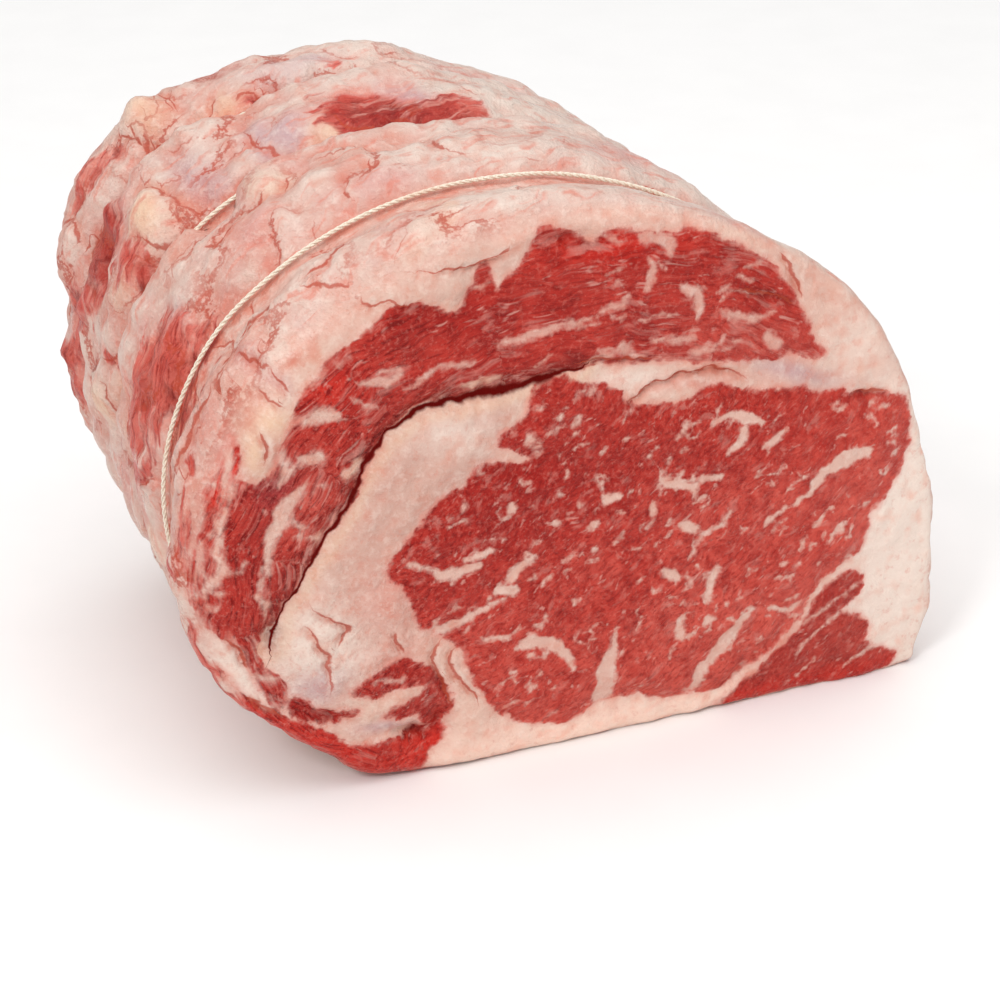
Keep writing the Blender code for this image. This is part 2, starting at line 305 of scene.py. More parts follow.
EYE_VEINS = (
    ((52.5, 53.2, 0.4), (57, 56, 1.0), (60.5, 60.5, 1.5), (66, 62.8, 1.9), (72, 63, 1.3)),
    ((31, 78.3, 0.6), (36, 79.3, 0.9), (40, 77.5, 1.4), (43, 76, 0.9)),
    ((39, 75, 1.2), (38.5, 71.8, 1.1), (35, 70.3, 0.8)),
    ((44, 70, 0.5), (47, 71.2, 1.2), (50, 72.6, 0.5)),
    ((18.6, 68.5, 0.6), (19, 65.2, 0.8), (22.5, 64.3, 1.3), (27, 63.5, 1.1), (26.5, 60.5, 0.5)),
    ((16.7, 60.5, 0.6), (16.6, 58.2, 0.9)),
    ((4.5, 64, 1.0), (7.5, 64.6, 1.0)),
    ((1.5, 58.2, 1.3),),
    ((28.5, 64.8, 0.8), (33.5, 64, 0.6)),
    ((24.5, 53.6, 1.3), (27.5, 51.6, 1.1)),
    ((36.5, 55, 0.4), (33.5, 52, 0.6), (30, 50, 0.5), (26.3, 44.3, 0.4)),
    ((19.5, 42.5, 1.0), (22.8, 40, 1.3)),
    ((33.5, 40, 1.1), (32.3, 36.5, 1.5), (31.5, 32, 0.6)),
    ((25, 28.5, 1.1), (24.4, 24, 1.1)),
    ((32, 27, 1.3),),
    ((44, 27, 0.7), (40.5, 24.5, 1.1), (37.5, 20.5, 2.2), (34, 17, 1.4), (30.5, 12.5, 1.6), (29.5, 9, 1.3)),
    ((7.6, 30, 0.5), (7.2, 25, 1.0), (5.6, 19, 2.3), (5.4, 12, 2.5)),
    ((-17, 30, 0.6), (-12.5, 30.5, 1.8), (-7.5, 29, 1.7), (-4, 25.5, 0.9), (-2.5, 21.5, 0.5)),
    ((-36.5, 53.5, 1.1), (-31.5, 52.2, 1.5), (-26.5, 53.4, 0.9)),
    ((-43, 57, 0.6), (-38, 55, 0.6)),
    ((-29.5, 55.5, 0.8), (-23, 56.8, 0.9)),
    ((-18.5, 49, 1.3), (-16, 51.3, 1.1), (-13.5, 52.5, 0.8)),
    ((-20.5, 46.2, 1.2), (-17.5, 45.5, 1.3)),
    ((-18.5, 66, 1.3),),
    ((-7.5, 60.5, 1.0),),
    ((-13.6, 82, 1.3),),
    ((-2, 85.5, 0.9),),
    ((-25, 34.3, 0.5), (-18.5, 33.2, 0.6)),
    ((-37, 36.6, 1.5), (-31.5, 39.4, 1.2), (-26.5, 41.5, 0.9), (-20, 43, 0.4)),
    ((45.5, 50, 0.5), (51, 53.3, 0.5)),
    ((63, 41.5, 0.6), (67, 45, 0.7)),
    ((59, 46.5, 0.4), (63, 50, 0.5)),
    ((49, 26.5, 0.8), (53.5, 24.8, 0.8), (57, 26, 0.6)),
    ((-11, 45.5, 0.7), (-8, 47.3, 0.5)),
    ((2, 52.3, 0.9),),
)
CAP_VEINS = (
    ((-64.5, 95, 1.0), (-60.5, 96.3, 1.8), (-58, 94.8, 1.0)),
    ((-65.4, 80.6, 0.8), (-68, 77.9, 1.6), (-70.6, 75.2, 2.0), (-72.3, 71.2, 1.8),
     (-73.9, 67.2, 1.2), (-74.6, 62.4, 0.8), (-76.3, 57.3, 0.4)),
    ((-66, 87, 0.9), (-62, 86.3, 1.4)),
    ((-73.1, 86.9, 0.6), (-70.1, 87.6, 1.1), (-69, 84.6, 1.3), (-72, 81.8, 0.6)),
    ((-56.5, 81.5, 0.8), (-53, 83.3, 1.0)),
    ((-52, 102.5, 0.5), (-47, 101.3, 0.8), (-43, 103, 0.4)),
    ((-29, 96.7, 0.7), (-24.5, 97.3, 1.1), (-20.5, 97.5, 0.6)),
    ((-20.5, 105.6, 0.5), (-13, 106.5, 1.0), (-5, 107.5, 0.7), (2, 108.5, 0.3)),
    ((3, 109.8, 0.5), (9, 110, 0.8), (9.5, 113, 0.4)),
    ((23.5, 112.5, 0.8), (26.3, 110.5, 1.2), (27.2, 106, 1.5), (27, 104.3, 0.6)),
    ((14.7, 113.5, 0.8), (15.5, 117.5, 1.0), (14.8, 120.5, 0.5)),
    ((13.5, 125.5, 1.4), (19.5, 122.6, 1.6), (20.5, 120, 0.6)),
    ((44.7, 97.3, 1.3), (46.7, 94.8, 1.4)),
    ((33, 104.8, 0.5), (36.5, 102.5, 0.9), (42, 101.5, 0.7), (46, 102.3, 0.4)),
    ((8.5, 100.5, 0.8), (9.8, 98.8, 1.1)),
    ((16, 101, 0.4), (21, 99.5, 0.7), (26, 99, 0.4)),
    ((26.5, 95.8, 0.8), (29.5, 96.5, 0.9)),
    ((-42, 99.5, 0.4), (-35, 102.3, 0.6), (-27, 103, 0.4)),
    ((-81.4, 90, 0.8), (-82.4, 85.4, 1.2), (-83, 79, 0.9), (-84.7, 72.6, 1.0),
     (-85.4, 67.4, 0.8), (-84, 62.7, 1.0), (-87, 60.5, 1.0), (-89.5, 58, 0.6)),
    ((-88.5, 84, 0.5), (-89.8, 77, 1.0), (-90.5, 70, 1.3), (-89.5, 64, 0.7)),
    ((-77.5, 56, 0.5), (-75, 52, 0.7), (-75.5, 47, 0.4)),
    ((-78.6, 35, 0.6), (-75.5, 34.4, 1.2), (-73.5, 33.5, 0.6)),
)
OTHER_VEINS = (
    ((70, 34.4, 1.3), (68.2, 33.2, 0.9), (63, 30.4, 0.6), (60.1, 26.3, 0.5), (57.4, 20.8, 0.6),
     (53.7, 17.4, 0.8), (49.3, 12.9, 0.8), (44.1, 9.2, 1.0), (40.4, 6.2, 1.2), (35.2, 2.6, 1.9)),
    ((72.6, 26.2, 0.4), (66.5, 23.6, 0.35), (60.4, 21, 0.3), (57.4, 19.6, 0.2)),
    ((68.2, 20.5, 0.4), (63, 16.5, 0.35), (57.8, 12.8, 0.3), (56.8, 9.9, 0.2)),
    ((80.1, 8.7, 0.7), (73.8, 6.9, 0.45), (70.4, 4.4, 0.2)),
    ((62.3, 8.2, 0.3), (59.4, 5.7, 0.3), (57.9, 4.0, 0.2)),
    ((-53, 18, 0.5), (-47, 15.8, 0.9), (-41, 15.2, 0.6)),
    ((-50, 27.5, 0.3), (-44, 27, 0.5)),
)
# thin torn or folded lines, as (x, z) points
FACE_CRACKS = (
    ((-65.9, 52.3), (-62.9, 48), (-59.7, 46.5), (-57.5, 44.7), (-56.6, 42.6), (-58.4, 40.9),
     (-59.4, 38.7)),
    ((-67, 46), (-65.7, 43.8), (-62.4, 38.8), (-61.2, 37.2), (-61.8, 34.9), (-61.3, 31), (-61.8, 26)),
    ((-46.2, 40.1), (-45.5, 37.2), (-43.6, 34.1)),
    ((-33.9, 35.8), (-36, 33), (-36.3, 29.2), (-34.5, 24.4), (-32.3, 20), (-31.5, 15.3)),
    ((-30.4, 32.8), (-32.4, 30), (-30.9, 25.2), (-27.4, 20), (-25.8, 15.7)),
    ((-84.9, 45.9), (-82.2, 43.2), (-80.4, 39.6), (-80, 37.4)),
    ((-86.7, 38.9), (-83.5, 34.4), (-79.8, 30.3), (-75.1, 25.5), (-71.3, 22.4)),
    ((-54.6, 123), (-53.4, 120.7), (-50.9, 119.2), (-47.5, 119.3), (-44.9, 120), (-42.3, 118),
     (-36.7, 118.9)),
    ((-43, 126), (-33.6, 124.7), (-29.3, 124.4), (-24.9, 124.8), (-19.2, 126.6), (-17.9, 128.1)),
    ((9, 86.2), (11.4, 87), (18, 90), (25.3, 91.1), (31.5, 91.3), (36, 89.5), (41, 86)),
    ((67.1, 79.5), (70.5, 78.1), (73.8, 77.5), (78.3, 76.7)),
    ((47.2, 116.7), (49.5, 113.3), (51.8, 108.9), (54.2, 103.9)),
    ((35.5, 109.7), (42.1, 107.4), (48.1, 105.2), (52.4, 102.9)),
    ((-79, 116.5), (-77.6, 111), (-75.5, 105.5)), ((-74, 109), (-70.5, 105.6), (-67.6, 102.4)),
    ((-74.4, 104.6), (-73.2, 101.6), (-69.5, 99.5)), ((-75.4, 95.2), (-73.4, 91), (-74.2, 86.4)),
    ((-4, 98.4), (4, 98), (10, 96.6), (18, 96)),
)
CAP_RUN = ((-20, 0), (-45, 7), (-62, 14), (-75, 27), (-82, 46), (-80, 66), (-67, 88), (-50, 102), (-22, 112), (10, 113), (36, 108), (62, 94))


def srgb(*channels):
    """A colour given as 0 to 255 channels, in the linear light that shaders use."""
    c = np.array(channels) / 255.0
    return np.where(c <= 0.04045, c / 12.92, ((c + 0.055) / 1.055) ** 2.4)


def blend(a, b, share):
    """Colours between a and b, one for each share."""
    share = np.asarray(share)[:, None]
    return a * (1 - share) + b * share


FAT = srgb(224, 186, 169)
FAT_PALE = srgb(238, 218, 205)
FAT_PINK = srgb(218, 158, 144)
FAT_YELLOW = srgb(232, 194, 164)
SIDE_FAT = srgb(210, 174, 160)
SIDE_PALE = srgb(226, 206, 194)
WEDGE = srgb(206, 162, 148)
FAT_LOW = srgb(255, 222, 204)
TOP_PALE = srgb(222, 205, 193)
LILAC = srgb(188, 153, 158)
# painted shade: the orange-red put in creases, folds, hollows, grooves and on the low side of torn edges
CREASE_SHADE = srgb(208, 108, 82)
VEIN = srgb(220, 178, 163)
CAP_VEIN = srgb(212, 152, 138)
BLUSH = srgb(204, 145, 132)
SIDE_PINK = srgb(210, 153, 146)
MEAT = srgb(193, 58, 47)
MEAT_LIGHT = srgb(214, 94, 80)
MEAT_DEEP = srgb(152, 18, 13)
MEAT_SHADE = srgb(104, 14, 9)
MEAT_BRIGHT = srgb(214, 40, 26)
# painted shade: the near-black red for muscle in cracks, above the seam, in holes, hollows and the twine's grooves
STAIN = srgb(138, 44, 52)
# spots of colour in the fat beside the cap, the crease-coloured ones being painted shade in its folds: x, z, radii,
# turn, share, colour
FACE_SPOTS = (
    (-75.9, 111.3, 1.5, 5.0, 12, 0.8, LILAC), (-70.6, 105.6, 4.2, 1.6, -42, 0.8, LILAC),
    (-66.0, 117.5, 2.4, 1.4, 0, 0.6, LILAC), (-67.5, 109.5, 4.2, 1.7, 38, 0.85, CREASE_SHADE),
    (-71.6, 115.4, 1.3, 2.4, -30, 0.7, CREASE_SHADE), (-62.0, 112.5, 0.9, 2.6, 0, 0.5, CREASE_SHADE),
    (-78.0, 97.5, 1.4, 1.1, 0, 0.7, CREASE_SHADE), (-72.3, 97.3, 4.0, 4.0, 0, 0.9, FAT_YELLOW),
    (-76.6, 90.5, 2.0, 5.0, 10, 0.8, FAT_YELLOW), (-79.5, 106.5, 2.6, 5.0, 0, 0.6, FAT_YELLOW),
    (-85.5, 98.5, 3.4, 9.0, 8, 0.8, SIDE_PINK), (-70.8, 100.4, 3.0, 2.4, 0, 0.6, SIDE_PALE),
)


def clouds(solid):
    """Three soft random shares for each place, coarse to fine, that vary fat and muscle."""
    return np.stack([0.5 + 0.45 * rough(solid, size, 80 + k) for k, size in enumerate((13, 5, 4))], axis=1)


def torn_lines(p, paths):
    """Signed distance to the nearest of many lines, and how strong that line is here."""
    crack = np.full(len(p), 9.0)
    strength = np.zeros(len(p))
    for path in paths:
        line = catmull(path, False, 4)
        near = np.all((p > line.min(0) - 5) & (p < line.max(0) + 5), axis=1)
        if not near.any():
            continue
        d, share, which, side = to_segments(p[near], line)
        at = (which + share) / (len(line) - 1)
        better = d < np.abs(crack[near])
        keep = np.flatnonzero(near)[better]
        crack[keep] = (d * side)[better]
        strength[keep] = (smooth(-d, -4, -1) * np.clip(5 * at * (1 - at), 0, 1))[better]
    return crack, strength


def scattered_flecks(regions, count, turn, length, width, seed):
    """Short random strands that lie inside the given outlines, turned about one way."""
    rng = np.random.default_rng(seed)
    line = np.asarray(regions, float)
    a = rng.uniform(line.min(0), line.max(0), size=(count, 2))
    a = a[inside(a, regions) > 1.5]
    paths = []
    for x, z in a:
        angle = math.radians(turn + rng.normal(0, 22))
        half = rng.uniform(*length) / 2
        dx, dz = half * math.cos(angle), half * math.sin(angle)
        bend = rng.normal(0, 0.5)
        thick = rng.uniform(*width)
        paths.append(((x - dx, z - dz, thick * 0.4), (x + bend, z - bend, thick), (x + dx, z + dz, thick * 0.4)))
    return paths


def cut_face(x, z, y, seed):
    """Fields of a cut face: how deep each place is in muscle or fat, its colours and its relief."""
    n = len(x)
    inward = (y - FACE_Y)[:, None] if seed == 0 else 0.0
    flat = np.stack([x, z], axis=1) + np.array(FACE_SLANT) * inward
    solid = np.stack([x, y, z], axis=1)
    warp = np.stack([rough(solid, 6, seed), rough(solid, 6, seed + 5)], axis=1)
    fine_warp = np.stack([noise(solid, 2.0, seed + 7), noise(solid, 2.0, seed + 9)], axis=1)
    p = flat + warp * (1.0 if seed == 0 else 3.0) + fine_warp * 0.6

    cap = inside(p, CAP)
    eye = inside(p, EYE)
    small = [inside(p, outline) for outline in SMALL_MUSCLES]
    muscle = np.maximum.reduce([cap, eye] + small)

    strands = np.maximum(veins(p, scattered_flecks(EYE, 330, 38, (0.6, 3.4), (0.15, 0.6), 21 + seed)),
                         veins(p, scattered_flecks(CAP, 230, 10, (1.5, 7.0), (0.12, 0.4), 33 + seed)))
    strands = np.maximum(strands, veins(p, OTHER_VEINS))
    placed = np.maximum(veins(p, EYE_VEINS), veins(p, CAP_VEINS))
    strands = np.maximum(strands, placed if seed == 0 else placed - 0.8)
    fat = np.maximum(-muscle, strands)

    # relief, towards the viewer
    seam_d, share, which, seam_side = to_segments(p, np.asarray(SEAM))
    widths = np.asarray(SEAM)[:, 2]
    seam_w = widths[which] * (1 - share) + widths[which + 1] * share
    crev_d, share, which, crev_side = to_segments(p, np.asarray(CREVICE))
    widths = np.asarray(CREVICE)[:, 2]
    crev_w = widths[which] * (1 - share) + widths[which + 1] * share
    depth = 1.0 if seed == 0 else 0.5
    relief = 1.6 * (1 - ((x - 2) / 100) ** 2 - ((z - 62) / 75) ** 2)
    relief += 1.6 * smooth(eye, -1, 7) + 0.7 * smooth(cap, -1, 5)
    over_seam = smooth(cap, -0.4, 0.4)
    slope = 1.3 * (1 - over_seam) + 2.8 * over_seam
    relief -= 1.1 * depth * smooth(seam_w, 0.3, 1.0) * np.exp(-(seam_d / slope) ** 2)
    relief -= depth * 0.6 * smooth(crev_w, 0.1, 0.3) * np.exp(-(crev_d / 1.0) ** 2)
    hollow = 3.6 * spot(p, -42, 12.5, 6, 2.0, -12) + 2.4 * spot(p, -74, 44, 2.6, 4, 10)
    hollow += 1.6 * spot(p, -62, 20.8, 9, 1.6, -25) + 2.6 * spot(p, -34.5, 14, 2.2, 3.0)
    hollow += 2.2 * spot(p, -3, 126.5, 8, 2.0, -8) + 1.2 * spot(p, -26, 117, 5, 2.5, 50)
    hollow += 1.2 * spot(p, 44, 12, 9, 1.5, 42) + 0.9 * spot(p, 66, 4, 5, 2, 40)
    relief -= depth * hollow
    relief += depth * (1.3 * spot(p, -16, 129, 6, 2.2, 10) + 1.0 * spot(p, -36, 119.5, 8, 1.8, 0))
    relief += 1.1 * rough(solid, 15, seed + 2) + 0.35 * noise(solid, 4.5, seed + 4)
    in_meat = smooth(muscle, -0.3, 0.6)
    relief += in_meat * 0.22 * noise(solid, (1.6, 1.6, 1.6), seed + 6)
    relief += (1 - in_meat) * 0.8 * rough(solid, 9, seed + 8)
    relief += 1.2 * smooth(-muscle, 0, 6) * smooth(-x, 10, 30)
    relief += depth * (0.9 * spot(p, -72.3, 97.3, 3.5, 3.5) + 0.8 * spot(p, -76.6, 90.5, 1.8, 5, 10))
    relief -= depth * (1.0 * spot(p, -76.3, 110, 1.2, 5.5, 12) + 0.8 * spot(p, -70.6, 105.8, 4, 1.2, -42))
    torn_meat = np.clip(spot(p, -9, 125, 9, 4.5, 20) + 0.6 * spot(p, 16, 121, 9, 5), 0, 1)
    relief += depth * 0.9 * torn_meat * noise(solid, 2.6, seed + 30)
    crack, crack_on = torn_lines(p, FACE_CRACKS)
    crack_on *= depth
    crack_on *= smooth(-np.abs(crack), -1.7, -0.8)
    relief += crack_on * (0.9 * np.tanh(crack / 0.8) * np.exp(-(crack / 1.9) ** 2) - 0.7 * np.exp(-(crack / 0.8) ** 2))
    relief -= 0.25 * in_meat * smooth(strands, -0.2, 0.4)

    # muscle colour
    cloud = rough(solid, 16, seed + 12)
    mottle = rough(solid, 3.2, seed + 14)
    # lighter towards the bottom, partly the muscle's own tone and partly painted light; lighter towards the right;
    # varied at random by clouds and mottling
    light = np.clip(0.68 - z / 88 + x / 170 + 0.45 * cloud + 0.4 * mottle, 0, 1)
    meat = blend(MEAT, MEAT_LIGHT, light)
    meat = blend(meat, MEAT_DEEP, np.clip(0.25 - 0.6 * mottle - 0.45 * light, 0, 0.75))
    meat = blend(meat, MEAT_DEEP, np.clip(0.6 * spot(p, -22, 68, 24, 16, 30) + 0.25 * spot(p, 10, 72, 30, 12), 0, 1))
    in_cap = smooth(cap, -1, 1)
    deep = np.clip(0.30 + 0.9 * rough(solid, 9, seed + 16) + 0.5 * mottle, 0, 1)
    meat = blend(meat, blend(MEAT, MEAT_DEEP, 0.15 + 0.85 * deep), in_cap * 0.85)
    meat = blend(meat, MEAT_DEEP, in_cap * 0.6 * spot(p, -30, 113, 22, 5, 0))
    meat = blend(meat, MEAT_BRIGHT, in_cap * 0.55 * (spot(p, -60, 102, 8, 8) + spot(p, 8, 124, 16, 4)))
    meat = blend(meat, MEAT_LIGHT, in_cap * 0.5 * np.clip(spot(p, 40, 96, 20, 6, -15) + spot(p, -66, 76, 8, 12), 0, 1))
    for k, field in enumerate(small):
        tone = (0.35, 0.55, 0.75, 0.3, 0.0, 0.62, 0.0)[k]
        meat = blend(meat, MEAT_DEEP, tone * smooth(field, -0.8, 0.8))
    meat = blend(meat, MEAT_BRIGHT, 0.7 * smooth(small[3], -0.8, 0.6) * np.clip(0.5 + cloud, 0, 1))
    meat = blend(meat, MEAT_BRIGHT, 0.9 * smooth(small[4], -0.8, 0.6))
    meat = blend(meat, MEAT_BRIGHT, 0.7 * smooth(small[6], -0.8, 0.6))
    meat = blend(meat, STAIN, 0.6 * spot(p, -72.5, 81.5, 5, 6))
    meat = blend(meat, MEAT_BRIGHT, 0.8 * spot(p, -38, 7.5, 6, 2.5, 30))
    meat = blend(meat, MEAT_BRIGHT, 0.5 * smooth(small[5], -0.8, 0.8) * smooth(-z, -8, -2))

    # fat colour
    tone = rough(solid, 11, seed + 18)
    fat_colour = blend(FAT, FAT_PINK, np.clip(0.18 + 0.6 * tone, 0, 1))
    fat_colour = blend(fat_colour, FAT_PALE, smooth(x, 58, 80) * smooth(-z, -100, -60))
    fat_colour = blend(fat_colour, SIDE_FAT, 0.55 * smooth(z, 112, 124) * smooth(-x, -10, 20))
    fat_colour = blend(fat_colour, WEDGE, 0.75 * smooth(-x, 12, 24) * smooth(-z, -98, -90) * smooth(z, 30, 44))
    pale = 1.7 * spot(p, -64, 40, 10, 12) + 0.8 * spot(p, -55, 34, 6, 4) + spot(p, -32, 87, 10, 5, -20) + spot(p, 68, 92, 9, 8)
    pale += 1.4 * spot(p, -82.5, 36, 15, 3.5, -58) + 1.2 * spot(p, -77.5, 29, 6, 3, -50)
    fat_colour = blend(fat_colour, FAT_PALE, 0.6 * np.clip(pale, 0, 1.4))
    fat_colour = blend(fat_colour, FAT_PINK, 0.7 * np.clip(spot(p, -48, 50, 8, 9) + spot(p, -46, 34, 9, 5), 0, 1))
    fat_colour = blend(fat_colour, FAT_YELLOW, 0.25 * smooth(tone, 0.2, 0.8))
    for a, b, ra, rb, lie, share, tint in FACE_SPOTS:
        fat_colour = blend(fat_colour, tint, share * depth * spot(p, a, b, ra, rb, lie))
    fat_colour = blend(fat_colour, FAT_LOW, spot(p, 8, 2, 60, 8))
    silver = spot(p, 52, 86.5, 13, 2.6, -22) + spot(p, -48, 15.5, 7, 1.8, -8) + spot(p, -64, 30, 6, 5, 0)
    fat_colour = blend(fat_colour, LILAC, 0.7 * np.clip(silver, 0, 1))
    # painted shade on the low side of each torn line and in the muscle along it, and paler fat on its high side
    fat_colour = blend(fat_colour, CREASE_SHADE, 0.5 * crack_on * np.exp(-((crack + 0.7) / 1.4) ** 2))
    fat_colour = blend(fat_colour, FAT_PALE, 0.7 * crack_on * np.exp(-((crack - 1.5) / 1.2) ** 2))
    meat = blend(meat, MEAT_SHADE, 0.6 * crack_on * np.exp(-(crack / 0.8) ** 2))
    in_strand = smooth(muscle, 0, 0.8) * smooth(strands, -0.8, 0.2)
    fat_colour = blend(fat_colour, MEAT_LIGHT, 0.4 * smooth(muscle, -1.4, 0.2) * (1 - in_strand))
    fat_colour = blend(fat_colour, blend(VEIN, CAP_VEIN, in_cap * (0.8 - 0.8 * smooth(-x, 38, 58))), 0.9 * in_strand)
    fat_colour = blend(fat_colour, FAT_PALE, 0.8 * spot(p, 13, 91.3, 12, 2.6, -8))
    fat_colour = blend(fat_colour, FAT_PINK, 0.8 * spot(p, 30, 88, 12, 1.6, -6))

    # how crisp the grain is, and painted shade in the clefts, above the seam, in two holes, along the crevice and in
    # the pocket at the seam's lower end, with a yellower band of fat beside the seam
    crisp = 0.55 * smooth(-x, -58, -40) + 0.9 * spot(p, -62, 34, 18, 18) + 0.4 * smooth(-x, 20, 50)
    crisp += in_cap * smooth(-x, 30, 60) * 0.6
    clefts = np.stack([seam_d * seam_side, depth * seam_w * smooth(-seam_d, -6, -4), crisp], axis=1)
    shade_above_seam = np.exp(-(seam_d / 3.6) ** 2) * over_seam
    hole_shade = 0.75 * spot(p, -42, 12.3, 6, 1.5, -12) + 0.9 * spot(p, 1.6, 125, 2.4, 1.0, 10)
    meat = blend(meat, MEAT_SHADE, np.clip(0.6 * shade_above_seam + hole_shade, 0, 1))
    fat_colour = blend(fat_colour, FAT_YELLOW, 0.4 * np.exp(-((seam_d - 2.2) / 1.6) ** 2) * depth)
    fat_colour = blend(fat_colour, CREASE_SHADE, 0.5 * depth * np.exp(-(crev_d / 1.5) ** 2) * smooth(crev_w, 0.1, 0.4))
    # painted shade in the pocket at the lower end of the seam
    fat_colour = blend(fat_colour, srgb(150, 95, 85), 0.7 * spot(p, -74, 44, 1.8, 3.6, 10))

    run = np.asarray(CAP_RUN, float)
    reach = np.r_[0.0, np.cumsum(np.hypot(*np.diff(run, axis=0).T))]
    d, share, which, side = to_segments(flat, run)
    along = reach[which] + share * (reach[which + 1] - reach[which])
    turn = math.radians(38)
    sway = 1.2 * np.stack([noise(solid, 7, seed + 22), noise(solid, 7, seed + 24), np.zeros(n)], axis=1)
    across = flat @ np.array([[math.cos(turn), -math.sin(turn)], [math.sin(turn), math.cos(turn)]])
    eye_flow = np.stack([across[:, 0] / 1.7, across[:, 1], y], axis=1) + sway
    cap_flow = np.stack([along / 3.6, d * side, y + 90.0], axis=1) + sway
    grain = smooth(muscle, -0.5, 0.8)
    fray = 0.9 + 1.3 * in_cap * smooth(-x, 40, 62) + 2.0 * in_cap * np.clip(rough(solid, 14, seed + 20), 0, 1)
    fray *= smooth(np.abs(muscle), 6.0, 1.0) * 0.9 + 0.1 + in_cap * 0.3
    return {
        "fat": fat, "meat_tint": meat, "fat_tint": fat_colour, "grain": grain, "fray": fray,
        "eye_flow": eye_flow, "cap_flow": cap_flow, "in_cap": cap - eye,
        "relief": relief, "clefts": clefts, "tears": np.stack([crack, crack_on, 0 * x, 0 * x], axis=1), "clouds": clouds(solid),
    }


# ================================================================ the outside, as (s, y)
RED_PATCHES = (
    # s, y, half length round, half length along, turn, depth in muscle
    (112, -27, 17, 13, -20, 3.0), (97, -22, 9, 12, 25, 1.6), (86, -22, 5, 10, 30, 1.2),
    (126, 3, 6, 8, 0, 2.0), (194, 8, 9.5, 9, 12, 4.2), (210, 2, 11, 5, 8, 3.4),
    (119, 24, 15, 7.5, 0, 3.2), (102, 5, 2.0, 6, -15, 1.0), (100, 36, 9, 6, 0, 2.4),
    (77, 40, 4, 10, 20, 2.2), (86, 40, 5, 9, 20, 1.8), (132, 44, 9, 3.5, 0, 1.8),
    (142, 41, 3, 3, 0, 1.0), (176, 33, 4, 2, 0, 1.2), (151, 31, 3.5, 2, 0, 0.8),
    (60, -35, 16, 2.5, 0, 1.2), (80, -52, 2, 6, -15, 0.8), (88, -60, 14, 2.5, 5, 1.6),
    (48, -61, 12, 2.0, 0, 1.4), (105, -56, 2, 2, 0, 0.6), (54, 42, 10, 6, 20, 0.8),
    (199, 37, 3, 3, 0, 0.8), (30, -20, 16, 8, 10, 1.2), (18, 14, 12, 9, 0, 1.4),
    (355, -24, 14, 7, 30, 1.4), (330, 12, 9, 8, -20, 1.6), (372, 36, 12, 6, 0, 1.4),
    (300, 38, 10, 4, 15, 1.0), (392, -6, 10, 5, 0, 1.0), (345, 50, 16, 5, 0, 1.2),
    (20, -62, 24, 3.5, 0, 3.0), (523, -62, 8, 3.5, 0, 3.0), (60, -60, 8, 3, 0, 1.2),
    (430, -45, 20, 9, 0, 1.6), (460, 10, 24, 10, 0, 2.0), (500, -18, 16, 12, 0, 1.6),
    (480, 46, 20, 9, 0, 1.6), (180, 56, 16, 4, 0, 1.2), (110, 56, 14, 5, 0, 1.2),
)
PINK_PATCHES = (
    (113, -54, 10, 5, 0), (152, -24, 8, 5, 0), (240, 37, 12, 5, 0), (205, 12, 6, 8, 0),
    (90, 40, 16, 8, 0), (60, 3, 18, 5, 0), (128, 14, 8, 7, 0), (250, -20, 18, 6, 20),
    (180, -30, 10, 6, 0), (300, -45, 20, 6, 0), (340, -5, 18, 8, 0), (370, 18, 16, 8, 0),
)
LILAC_PATCHES = (
    (131.5, -56, 1.8, 5, 10), (124, -24, 5, 4, 0), (152, 8, 6, 12, 0), (168, 8, 3, 11, -6),
    (186, 37, 9, 5, 0), (151, 31, 3, 2, 0), (174, 7, 5, 7, 0), (207, 8, 4, 8, 10),
    (192, 40, 8, 3, 0), (322, -22, 6, 9, 0), (352, 30, 7, 7, 0),
)
YELLOW_PATCHES = (
    (137, 8, 6, 9, 0), (88, 12, 5, 7, 0), (153, 42, 5, 6, 0), (236, -50, 3, 3, 0),
    (168, 32, 7, 5, 0), (92, -2, 7, 3, 0), (182, 2, 7, 4, 0), (315, 5, 8, 6, 0), (285, -30, 9, 5, 0),
)
# lumps and hollows: s, y, half length round, half length along, turn, height
LUMPS = (
    (137, 8, 6, 10, 0, 2.4), (153, 42, 6, 7, 0, 2.6), (126, 3, 5, 7, 0, 1.4),
    (196, 10, 9, 9, 10, -2.4), (207, -3, 12, 3, 0, -1.2), (119, 20, 14, 5, 0, -1.6),
    (110, 42, 9, 6, 0, 2.0), (132, 46, 8, 4, 0, 1.6), (150, 8, 4, 10, 0, -1.0),
    (172, 32, 7, 4, 0, 1.4), (160, 1, 7, 3.5, 0, 1.6), (185, 38, 9, 6, 0, 1.2),
    (92, 10, 7, 8, 0, 1.5), (112, -25, 14, 9, 0, -0.6), (146, -20, 12, 8, 0, 0.9),
    (84, 42, 8, 6, 0, 1.2), (150, 31, 3, 2.5, 0, -1.6), (176, 33, 4, 1.5, 0, -1.0),
    (101, 3, 2.5, 6, -15, -1.0), (330, 12, 8, 7, -20, -1.2), (355, -24, 12, 6, 30, -0.9),
)
